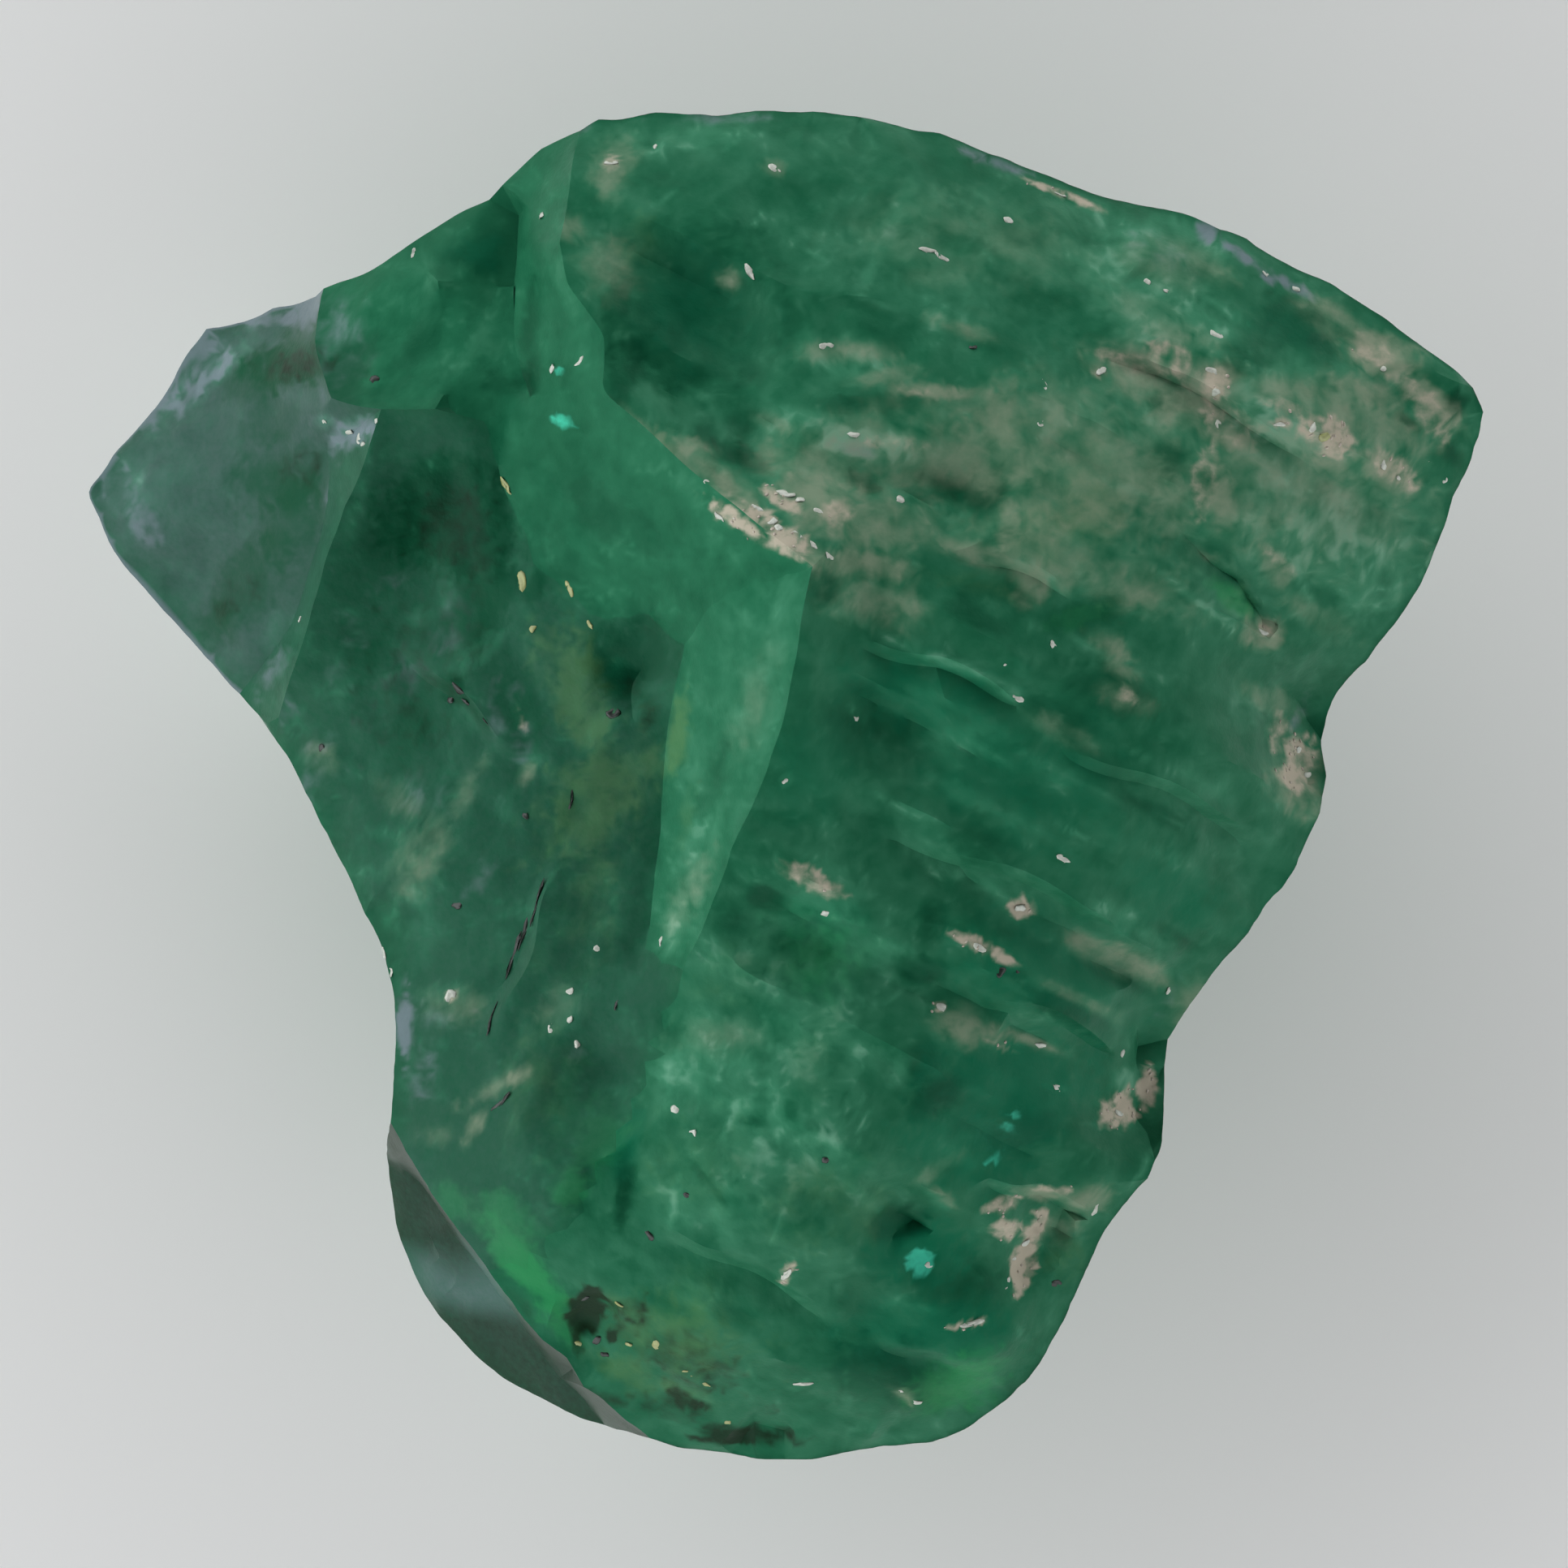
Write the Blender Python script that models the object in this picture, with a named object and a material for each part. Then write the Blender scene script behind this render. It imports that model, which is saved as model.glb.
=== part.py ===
"""Rough emerald crystal: one broken fragment lying on the small flat of its back.

The front looks up. A crest runs down it: right of the crest lies one wide striated face, left of it
the smooth facets, a long wall, a basin, and the lower tip and lobe. The back tapers to the rest face.
All sizes below are in millimetres, X to the right, Y away from the viewer's feet, Z up.
"""
import math

import bmesh
import bpy
import numpy as np
from mathutils import Vector, geometry, kdtree, noise

MM = 0.001
WIDTH = 18.0
HEIGHT = 17.3
THICKNESS = 9.6
FRONT_GRAIN = 0.27
BACK_GRAIN = 0.44
LINE_STEP = 0.30
RIM_INSET = 0.38
RIM_RISE = 0.50
LINE_ROUGHNESS = 0.05
STRIATION_PITCH = 1.35
STRIATION_DEPTH = 0.11
STRIATION_DIP = math.radians(-27.0)
SEED = 11

# Corners of the widest contour, clockwise from the left tip, with the height of the edge at each.
TIP = (-8.99, 3.86, 2.6)
FAN_CORNER = (-5.86, 6.43, 5.1)
DARK_CORNER = (-4.80, 6.95, 5.6)
STRIP_CORNER = (-3.55, 7.73, 5.9)
CREST_TOP = (-2.56, 8.41, 6.3)
RIGHT_CORNER = (8.99, 4.82, 6.2)
RIDGE_END = (-6.52, 0.66, 4.2)
NARROW_END = (-6.99, 1.23, 3.5)
LOBE_START = (-5.00, -4.30, 5.0)
LOBE_FOOT_START = (-5.09, -4.80, 3.2)
LOBE_FOOT_END = (-2.27, -8.27, 3.1)
LOBE_END = (-1.68, -8.38, 4.7)

UPPER_EDGE = [
    TIP, (-8.66, 4.33, 2.7), (-7.98, 5.06, 2.8), (-7.70, 5.61, 3.0), (-7.43, 5.96, 3.1),
    (-6.78, 6.10, 3.4), (-6.49, 6.25, 3.7), (-6.10, 6.26, 4.2), FAN_CORNER, (-5.27, 6.63, 5.4),
    DARK_CORNER, (-4.13, 7.38, 5.7), (-3.72, 7.55, 5.8), STRIP_CORNER, (-3.05, 8.20, 6.0),
    CREST_TOP, (-2.32, 8.58, 6.3), (-1.73, 8.65, 6.3), (-0.88, 8.60, 6.4), (0.42, 8.65, 6.5),
    (1.34, 8.54, 6.5), (2.05, 8.40, 6.4), (2.67, 8.11, 6.3), (3.46, 7.82, 6.2), (4.05, 7.60, 6.1),
    (5.30, 7.32, 6.2), (5.96, 7.03, 6.2), (7.28, 6.30, 6.3), (8.60, 5.37, 6.3),
]
RIGHT_EDGE = [
    (8.86, 5.13, 6.2), RIGHT_CORNER, (8.86, 4.32, 6.0), (8.41, 3.13, 5.8), (8.14, 2.47, 5.7),
    (7.68, 1.88, 5.6), (7.28, 1.41, 5.3), (7.04, 1.02, 5.1), (6.97, 0.62, 5.1), (7.03, 0.16, 5.4),
    (6.89, -0.37, 5.5), (6.63, -0.98, 5.5), (5.96, -1.90, 5.5), (5.24, -2.77, 5.4), (4.97, -3.22, 5.2),
    (4.93, -3.88, 5.1), (4.92, -4.55, 5.3), (4.71, -5.01, 5.4), (4.11, -5.73, 5.3), (3.92, -6.19, 5.2),
    (3.52, -7.05, 5.1), (3.19, -7.58, 5.0), (2.79, -7.97, 4.9), (2.33, -8.31, 4.8), (1.95, -8.44, 4.8),
]
LOWER_EDGE = [
    (1.34, -8.47, 4.8), (0.42, -8.64, 4.8), (-0.29, -8.64, 4.7), (-0.95, -8.52, 4.6), LOBE_END,
    LOBE_FOOT_END, (-2.79, -8.10, 2.8), (-3.46, -7.77, 2.5), (-3.98, -7.37, 2.4), (-4.45, -6.85, 2.3),
    (-4.77, -6.32, 2.3), (-4.98, -5.72, 2.5), (-5.07, -5.19, 2.8), LOBE_FOOT_START, LOBE_START,
    (-4.97, -3.80, 5.1), (-4.91, -3.21, 5.1), (-4.94, -2.69, 5.0), (-5.10, -2.10, 4.9),
    (-5.44, -1.37, 4.8), (-6.23, 0.21, 4.5), RIDGE_END, NARROW_END, (-7.60, 1.88, 3.0),
    (-8.20, 2.54, 2.7), (-8.73, 3.19, 2.6),
]
OUTLINE = UPPER_EDGE + RIGHT_EDGE + LOWER_EDGE

# Corners where the edges of the front meet.
KNEE = (-2.26, 5.06, 8.1)
STRIP_FOOT = (-3.22, 5.01, 6.8)
APEX = (0.41, 2.80, 9.6)
WALL_HEAD = (-1.21, 1.81, 7.8)
WALL_END = (-1.24, -2.29, 7.8)
FAN_END = (-3.76, 4.69, 6.7)
RIDGE_TOP = (-5.09, 4.85, 6.5)
STRIP_MIDDLE = (-3.40, 6.43, 6.2)

UPPER_CREST = [CREST_TOP, (-2.66, 7.88, 6.9), (-2.79, 6.95, 7.4), (-2.70, 6.41, 7.6), (-2.23, 5.77, 7.9), KNEE]
MIDDLE_CREST = [KNEE, (-0.95, 3.89, 8.8), APEX]
LOWER_CREST = [
    APEX, (0.25, 2.08, 9.5), (0.11, 1.15, 9.2), (-0.17, 0.13, 8.9), (-0.61, -0.72, 8.6),
    (-0.97, -1.77, 8.2), WALL_END,
]
STRIP_BASE = [STRIP_CORNER, (-3.34, 7.35, 5.9), STRIP_MIDDLE, (-3.39, 5.77, 6.5), STRIP_FOOT]
STRIP_BOTTOM = [STRIP_FOOT, KNEE]
FAN_TO_STRIP = [FAN_END, STRIP_FOOT]
DARK_FACET_BASE = [DARK_CORNER, (-4.38, 6.49, 6.2), STRIP_MIDDLE]
FAN_LEFT = [FAN_CORNER, (-6.00, 5.68, 5.5), (-5.74, 5.01, 6.0), RIDGE_TOP]
FAN_LOWER = [FAN_END, (-4.39, 4.85, 6.8), RIDGE_TOP]
CENTRAL_FOOT = [WALL_HEAD, (-1.68, 2.22, 7.4), (-2.43, 2.19, 7.0), (-3.14, 2.92, 6.7), (-3.53, 3.91, 6.5), FAN_END]
CENTRAL_EDGE = [APEX, (-0.81, 2.40, 8.6), WALL_HEAD]
WALL_FOOT = [WALL_HEAD, (-1.47, 0.82, 7.1), (-1.53, -0.49, 6.8), (-1.68, -2.03, 6.9), WALL_END]
LEFT_RIDGE = [RIDGE_TOP, (-5.43, 3.86, 6.1), (-5.76, 3.13, 5.8), (-6.08, 2.08, 5.3), (-6.28, 1.41, 4.9), RIDGE_END]
NARROW_EDGE = [RIDGE_TOP, (-5.79, 4.32, 5.3), (-5.84, 3.44, 5.0), (-6.28, 2.14, 4.2), NARROW_END]
LOBE_TOP = [
    LOBE_START, (-4.80, -4.67, 5.4), (-4.34, -5.39, 5.7), (-3.72, -6.18, 5.9), (-3.06, -7.11, 5.7),
    (-2.73, -7.31, 5.6), (-2.52, -7.70, 5.3), (-2.02, -8.06, 5.0), LOBE_END,
]
LOBE_FOOT = [
    LOBE_FOOT_START, (-4.62, -5.15, 3.3), (-4.00, -6.08, 3.4), (-3.36, -6.98, 3.2), (-2.86, -7.66, 3.1),
    LOBE_FOOT_END,
]
FRONT_EDGES = [
    UPPER_CREST, MIDDLE_CREST, LOWER_CREST, STRIP_BASE, STRIP_BOTTOM, FAN_TO_STRIP, DARK_FACET_BASE, FAN_LEFT,
    FAN_LOWER, CENTRAL_FOOT, CENTRAL_EDGE, WALL_FOOT, LEFT_RIDGE, NARROW_EDGE, LOBE_TOP, LOBE_FOOT,
]
# Soft heights that the smooth parts of the front pass through.
FRONT_SWELLS = [
    [(-0.9, 7.6, 7.3), (2.0, 7.3, 7.4), (4.9, 6.2, 7.3), (7.3, 4.9, 7.2)],
    [(0.4, 5.6, 8.2), (3.2, 5.0, 8.5), (6.0, 3.6, 8.0)],
    [(1.6, 2.2, 8.9), (3.6, 1.4, 8.5), (5.6, 0.4, 7.5)],
    [(1.2, -0.6, 8.4), (3.2, -1.6, 7.9), (4.3, -2.6, 6.9)],
    [(0.2, -3.2, 8.1), (2.2, -3.8, 7.7)],
    [(-0.6, -5.0, 7.8), (1.8, -5.8, 7.2)],
    [(-1.4, -7.1, 6.6), (1.2, -7.5, 6.4)],
    [(-3.0, -4.2, 7.0), (-2.2, -5.9, 7.0)],
    [(-3.3, -0.4, 6.3), (-3.6, -2.4, 6.3)],
    [(-4.5, 2.4, 5.6), (-4.9, 0.6, 5.3)],
    [(-2.6, 1.0, 6.6), (-2.4, -0.8, 6.6)],
    [(-7.6, 3.8, 3.8), (-6.9, 4.9, 4.0)],
    [(-3.9, -7.0, 3.0), (-4.5, -5.9, 3.0)],
]

# Corners of the flat under the stone and of the blunt keel around it, both seen from above.
REST_FACE = [(-2.7, 2.5), (0.1, 3.9), (3.0, 2.7), (3.3, -0.4), (1.1, -2.4), (-2.0, -1.7)]
KEEL = [
    ((-5.9, 3.1, 1.5), TIP, 0), ((-4.2, 5.2, 2.2), DARK_CORNER, 0), ((-0.4, 6.9, 2.3), (0.42, 8.65, 6.5), 1),
    ((4.2, 5.7, 2.0), (5.30, 7.32, 6.2), 2), ((6.9, 3.6, 2.5), RIGHT_CORNER, 2),
    ((5.3, -0.6, 2.0), (6.89, -0.37, 5.5), 3), ((3.6, -4.3, 2.1), (4.92, -4.55, 5.3), 4),
    ((0.9, -6.8, 2.3), (0.42, -8.64, 4.8), 4), ((-2.9, -6.2, 1.5), (-3.98, -7.37, 2.8), 5),
    ((-3.8, -2.2, 1.7), (-4.94, -2.69, 5.0), 5),
]

# Shell-shaped hollows and low swellings: centre, half lengths, turn in degrees, depth (swellings minus).
FRONT_HOLLOWS = [
    (1.15, 0.95, 0.75, 1.9, 12.0, 0.38), (-1.15, 5.75, 0.95, 1.3, 20.0, 0.42), (7.0, 0.65, 1.6, 0.75, -22.0, 0.60),
    (4.9, -3.85, 1.6, 0.85, -18.0, 0.60), (1.45, -5.45, 0.45, 0.60, 0.0, 0.40), (-2.35, -3.85, 0.85, 0.65, 30.0, 0.38),
    (-1.75, 1.55, 0.50, 0.60, 0.0, 0.40), (-0.35, 4.45, 0.50, 0.45, 30.0, 0.25), (2.15, 3.80, 0.80, 0.45, -20.0, 0.28),
    (-0.5, -8.45, 0.75, 0.45, 0.0, 0.30), (5.75, 2.65, 0.75, 0.30, -42.0, 0.35), (3.3, -5.6, 0.35, 0.75, -14.0, 0.30),
    (-2.5, -7.0, 0.45, 0.45, 0.0, 0.30), (-7.35, 2.95, 0.45, 1.2, -40.0, 0.25), (0.1, -1.95, 0.7, 0.6, -30.0, 0.25),
    (5.9, -1.1, 1.6, 0.45, -28.0, 0.25), (3.6, -1.9, 1.7, 0.40, -28.0, 0.22), (-4.6, 3.8, 0.7, 1.1, -10.0, 0.22),
    (4.3, 3.2, 1.8, 1.3, -25.0, -0.25), (0.4, -4.4, 1.9, 1.7, 20.0, -0.30), (2.0, -7.1, 1.3, 0.8, 10.0, -0.22),
    (4.2, -0.6, 2.0, 0.55, -27.0, -0.25), (-3.4, -5.2, 0.9, 0.9, 0.0, -0.25), (6.2, 5.2, 1.7, 0.7, -28.0, -0.20),
]
BACK_HOLLOWS = [
    (-4.6, 0.6, 1.5, 1.9, 20.0, 0.65), (2.2, 6.2, 2.0, 1.1, -10.0, 0.60), (6.0, 1.4, 1.1, 1.6, 10.0, 0.65),
    (3.0, -4.6, 1.0, 1.7, -30.0, 0.50), (-1.4, -5.0, 1.5, 1.1, 15.0, 0.65), (-3.0, 6.3, 1.3, 0.8, 25.0, 0.45),
    (4.6, 4.2, 1.2, 0.8, 30.0, 0.40), (-5.6, 4.2, 1.2, 0.7, -20.0, 0.30), (1.2, -5.0, 0.9, 0.7, 0.0, 0.30),
]
# Low steps: start, end, height, and how far the raised side reaches.
LEDGE_FACE = 0.15
LEDGE_WANDER = 0.08
BACK_LEDGES = [
    ((-3.9, 4.6), (-0.9, 6.0), 0.30, 1.2), ((3.9, 0.2), (5.6, 3.2), 0.28, 1.0), ((-1.9, -3.4), (1.6, -4.3), 0.28, 1.1),
    ((-3.5, -0.9), (-4.6, 1.9), 0.26, 0.9), ((1.2, 5.0), (3.6, 4.4), 0.22, 0.9), ((2.0, -3.3), (3.6, -1.6), 0.24, 0.9),
]
FRONT_LEDGES = [
    ((0.95, 1.85), (3.25, 1.00), 0.24, 1.4), ((5.25, 3.15), (6.25, 2.15), 0.28, 0.9),
    ((2.20, -2.55), (4.50, -3.45), 0.22, 0.9), ((3.30, 5.95), (6.90, 4.15), 0.20, 1.2),
    ((2.55, -5.05), (4.05, -5.50), 0.22, 0.9), ((-2.95, -0.95), (-3.75, -3.10), 0.16, 0.8),
    ((1.30, -0.55), (4.60, -1.90), 0.18, 1.0), ((3.40, 0.55), (6.30, -0.75), 0.20, 0.9),
    ((4.30, 7.05), (6.30, 6.00), 0.16, 0.8), ((0.10, 6.40), (2.40, 5.60), 0.16, 1.0),
    ((-1.60, -5.60), (0.90, -6.90), 0.18, 1.0), ((1.90, 3.10), (4.10, 2.30), 0.16, 0.9),
    ((-4.90, 1.80), (-3.40, 0.30), 0.14, 0.9), ((1.25, -7.15), (2.75, -7.65), 0.16, 0.8),
]


def along(line, step):
    """Points at even distances along a line of corners, both ends kept."""
    points = [Vector(line[0])]
    for start, end in zip(line, line[1:]):
        start, end = Vector(start), Vector(end)
        parts = max(1, round((end.xy - start.xy).length / step))
        points += [start.lerp(end, (i + 1) / parts) for i in range(parts)]
    return points


def broken(points, amount):
    """The same line with the small sideways wander of a broken edge; its ends stay."""
    moved = [points[0]]
    for before, point, after in zip(points, points[1:], points[2:]):
        side = (after - before).xy.orthogonal().normalized()
        wander = noise.noise(point * 1.7 + Vector((SEED, 0, 0))) + 0.5 * noise.noise(point * 4.1)
        moved.append(point + (side * amount * wander).to_3d())
    return moved + [points[-1]]


def inside(corners, points):
    """True for each point that lies inside the closed polygon."""
    hits = np.zeros(len(points), dtype=bool)
    x, y = points[:, 0], points[:, 1]
    for (x0, y0), (x1, y1) in zip(corners, corners[1:] + corners[:1]):
        if y0 != y1:
            hits ^= ((y0 > y) != (y1 > y)) & (x < (x1 - x0) * (y - y0) / (y1 - y0) + x0)
    return hits


def inset(loop, distance, rise):
    """A copy of the closed contour moved inward and up."""
    moved = []
    for before, point, after in zip(loop[-1:] + loop[:-1], loop, loop[1:] + loop[:1]):
        along_edge = (after - before).xy.normalized()
        inward = Vector((along_edge.y, -along_edge.x))
        moved.append(point + (inward * distance).to_3d() + Vector((0, 0, rise)))
    return moved


def scatter(loop, taken, grain, rng):
    """Loose rows of points along the striations over the inside of the contour, clear of those taken."""
    tree = kdtree.KDTree(len(taken))
    for index, point in enumerate(taken):
        tree.insert((point[0], point[1], 0), index)
    tree.balance()
    rows = []
    for row, y in enumerate(np.arange(-WIDTH, WIDTH, grain * 0.87)):
        for x in np.arange(-WIDTH, WIDTH, grain):
            rows.append((x + grain * 0.5 * (row % 2), y))
    places = np.array(rows) + rng.uniform(-1, 1, (len(rows), 2)) * grain * np.array([0.2, 0.08])
    c, s = math.cos(STRIATION_DIP), math.sin(STRIATION_DIP)
    places = places @ np.array([[c, s], [-s, c]])
    places = places[inside([tuple(p.xy) for p in loop], places)]
    return [tuple(p) for p in places if tree.find((p[0], p[1], 0))[2] > grain * 0.62]


def sheet(loop, edges, creases, swells, grain, rng):
    """One side of the stone: a net over the contour whose edges follow the given lines.

    The contour, edges and swells hold their heights, the rest hangs between them like a film, and the
    swells are then let go so that they leave no mark. Creases only lead the edges of the net.
    """
    points, heights, links, held = [], [], [], {}

    def place(point, height, kind):
        key = (round(point[0], 3), round(point[1], 3))
        if key not in held:
            held[key] = len(points)
            points.append(Vector(point[:2]))
            heights.append((height, kind))
        return held[key]

    ring = [place(p, p[2], "edge") for p in loop]
    links += list(zip(ring, ring[1:] + ring[:1]))
    for line in edges:
        chain = [place(p, p[2], "edge") for p in line]
        links += [pair for pair in zip(chain, chain[1:]) if pair[0] != pair[1]]
    for line in creases:
        chain = [place(p, 0.0, "free") for p in line]
        links += list(zip(chain, chain[1:]))
    firm = kdtree.KDTree(len(points))
    for index, point in enumerate(points):
        firm.insert(point.to_3d(), index)
    firm.balance()
    for point in swells:
        if firm.find((point[0], point[1], 0))[2] > grain * 0.6:
            place(point, point[2], "soft")
    for point in scatter(loop, points, grain, rng):
        place(point, 0.0, "free")

    contour = set(ring)
    sides = {frozenset(pair) for pair in zip(ring, ring[1:] + ring[:1])}
    for _ in range(4):
        net = geometry.delaunay_2d_cdt(points, links, [], 1, 1e-5, True)
        flat, faces, origin = net[0], net[2], net[3]
        centres = np.array([tuple((flat[a] + flat[b] + flat[c]) / 3) for a, b, c in faces])
        faces = [face for face, hit in zip(faces, inside([tuple(p.xy) for p in loop], centres)) if hit]
        chords = set()
        for face in faces:
            ids = [origin[i][0] for i in face if origin[i]]
            if len(ids) == 3:
                pairs = [frozenset(pair) for pair in zip(ids, ids[1:] + ids[:1])]
                chords |= {pair for pair in pairs if pair <= contour and pair not in sides}
        for first, second in chords:
            middle = (points[first] + points[second]) / 2
            place(middle, 0.0, "free")
        if not chords:
            break
    kind = [heights[ids[0]][1] if ids else "free" for ids in origin]
    z = np.array([heights[ids[0]][0] if ids else 0.0 for ids in origin])
    kind = np.array(kind)
    pairs = np.array(sorted({tuple(sorted(p)) for f in faces for p in zip(f, f[1:] + f[:1])}))
    near = np.concatenate([pairs, pairs[:, ::-1]])
    count = np.bincount(near[:, 0], minlength=len(flat)).astype(float)
    free = kind == "free"
    z[free] = z[~free].mean()
    for _ in range(1500):
        mean = np.bincount(near[:, 0], weights=z[near[:, 1]], minlength=len(flat)) / count
        z[free] = mean[free]
    loose = kind != "edge"
    for _ in range(5):
        mean = np.bincount(near[:, 0], weights=z[near[:, 1]], minlength=len(flat)) / count
        z[loose] = 0.4 * z[loose] + 0.6 * mean[loose]
    return np.column_stack([np.array([tuple(p) for p in flat]), z]), faces, kind


def hollows(shapes, x, y):
    """Sum of the shell-shaped hollows at each point, steeper on the side they were struck from."""
    total = np.zeros(len(x))
    for cx, cy, length, breadth, turn, depth in shapes:
        c, s = math.cos(math.radians(turn)), math.sin(math.radians(turn))
        u = ((x - cx) * c + (y - cy) * s) / length
        v = (-(x - cx) * s + (y - cy) * c) / breadth
        r = np.sqrt(u * u + v * v)
        bowl = np.clip(1.0 - r * r / 1.7, 0.0, None) ** 1.5 * (1.0 + 0.35 * np.clip(u, -1, 1))
        ripple = 0.10 * np.cos(r * 9.0) * np.clip(1.2 - r, 0.0, None)
        total -= depth * (bowl + ripple * bowl)
    return total


def ledge_frame(ledge):
    """Start, direction and length of a ledge in plan."""
    (x0, y0), (x1, y1) = ledge[:2]
    span = math.hypot(x1 - x0, y1 - y0)
    return (x0, y0), ((x1 - x0) / span, (y1 - y0) / span), span


def ledge_lines(steps):
    """The foot and the brink of every ledge, so that the net has edges along both."""
    lines = []
    for ledge in steps:
        (x0, y0), (ux, uy), span = ledge_frame(ledge)
        for offset in (0.0, LEDGE_FACE):
            line = []
            for t in np.linspace(0.06, 0.94, max(3, round(span / LINE_STEP))):
                d = offset - LEDGE_WANDER * math.sin(t * 9.0)
                line.append((x0 + ux * t * span - uy * d, y0 + uy * t * span + ux * d))
            lines.append(line)
    return lines


def ledges(steps, x, y):
    """Low one-sided steps: full height at the brink, fading out behind it."""
    total = np.zeros(len(x))
    for ledge in steps:
        (x0, y0), (ux, uy), span = ledge_frame(ledge)
        t = ((x - x0) * ux + (y - y0) * uy) / span
        d = -(x - x0) * uy + (y - y0) * ux + LEDGE_WANDER * np.sin(t * 9.0)
        ends = np.clip(5.0 * t, 0, 1) * np.clip(5.0 * (1.0 - t), 0, 1)
        rise = np.clip(d / LEDGE_FACE, 0, 1) * np.clip(1.0 - d / ledge[3], 0, 1) ** 1.5
        total += ledge[2] * rise * ends
    return total


def lumps(points, size, octaves):
    """Smooth seeded unevenness of about the given size, between minus one and one."""
    shift = Vector((SEED * 3.1, SEED * 1.7, 0))
    return np.array([noise.fractal(Vector(p) / size + shift, 1.0, 2.1, octaves) for p in points])


def distance_to(samples, points):
    """Distance in plan from each point to the nearest of the samples."""
    tree = kdtree.KDTree(len(samples))
    for index, point in enumerate(samples):
        tree.insert((point[0], point[1], 0), index)
    tree.balance()
    return np.array([tree.find((p[0], p[1], 0))[2] for p in points])


def shape_front(verts, kind, loop, edges):
    """Relief of the front: hollows, ledges, growth striations on the wide face, fine unevenness."""
    x, y = verts[:, 0], verts[:, 1]
    rim = distance_to(loop, verts)
    crest = UPPER_CREST + MIDDLE_CREST[1:] + LOWER_CREST[1:]
    wide = [p[:2] for p in crest] + [(-1.0, -5.0), (-1.0, -9.0), (9.5, -9.0), (9.5, 9.5), (-2.5, 9.5)]
    on_wide = inside(wide, verts[:, :2]) * np.clip(distance_to(edges, verts) / 0.9, 0, 1)
    c, s = math.cos(STRIATION_DIP), math.sin(STRIATION_DIP)
    across = -x * s + y * c + 0.35 * lumps(np.column_stack([x, y, 0 * x]), 3.2, 2)
    phase = (across / STRIATION_PITCH) % 1.0
    terrace = np.where(phase < 0.28, phase / 0.28, 1.0 - (phase - 0.28) / 0.72) - 0.5
    strength = 0.5 + 0.5 * np.clip(lumps(np.column_stack([x * 0.6, y, 0 * x + 5]), 2.6, 1) * 2 + 0.5, 0, 1)
    fade = np.clip(rim / 0.8, 0, 1)
    edge_fade = np.clip(distance_to(edges, verts) / 0.5, 0.35, 1)
    change = hollows(FRONT_HOLLOWS, x, y) * np.clip(rim / 0.4, 0.3, 1) * edge_fade
    change += 2.0 * STRIATION_DEPTH * terrace * strength * on_wide * fade
    change += ledges(FRONT_LEDGES, x, y) * fade
    change += 0.10 * lumps(verts, 2.2, 3) * fade * edge_fade
    change[(rim < 1e-4)] = 0.0
    verts[:, 2] += change


def shape_back(verts, kind, loop):
    """Relief of the back: a few struck hollows and unevenness; the rest face stays flat."""
    flat = distance_to(along([p + (0,) for p in REST_FACE + REST_FACE[:1]], 0.3), verts)
    flat[inside(REST_FACE, verts[:, :2])] = 0.0
    away = np.clip(flat / 1.0, 0, 1) * np.clip(distance_to(loop, verts) / 0.7, 0, 1)
    x, y = verts[:, 0], verts[:, 1]
    change = -hollows(BACK_HOLLOWS, x, y) + ledges(BACK_LEDGES, x, y) + 0.15 * lumps(verts + 7.0, 2.0, 3)
    verts[:, 2] += change * away


def back_lines():
    """Edges of the back: the flat, the keel around it, and the ribs out to the contour."""
    rest = [p + (0.0,) for p in REST_FACE]
    keel = [place for place, _, _ in KEEL]
    lines = [rest + rest[:1], keel + keel[:1]]
    for place, rim, corner in KEEL:
        lines += [[rim, place], [place, rest[corner]]]
    return lines


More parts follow.
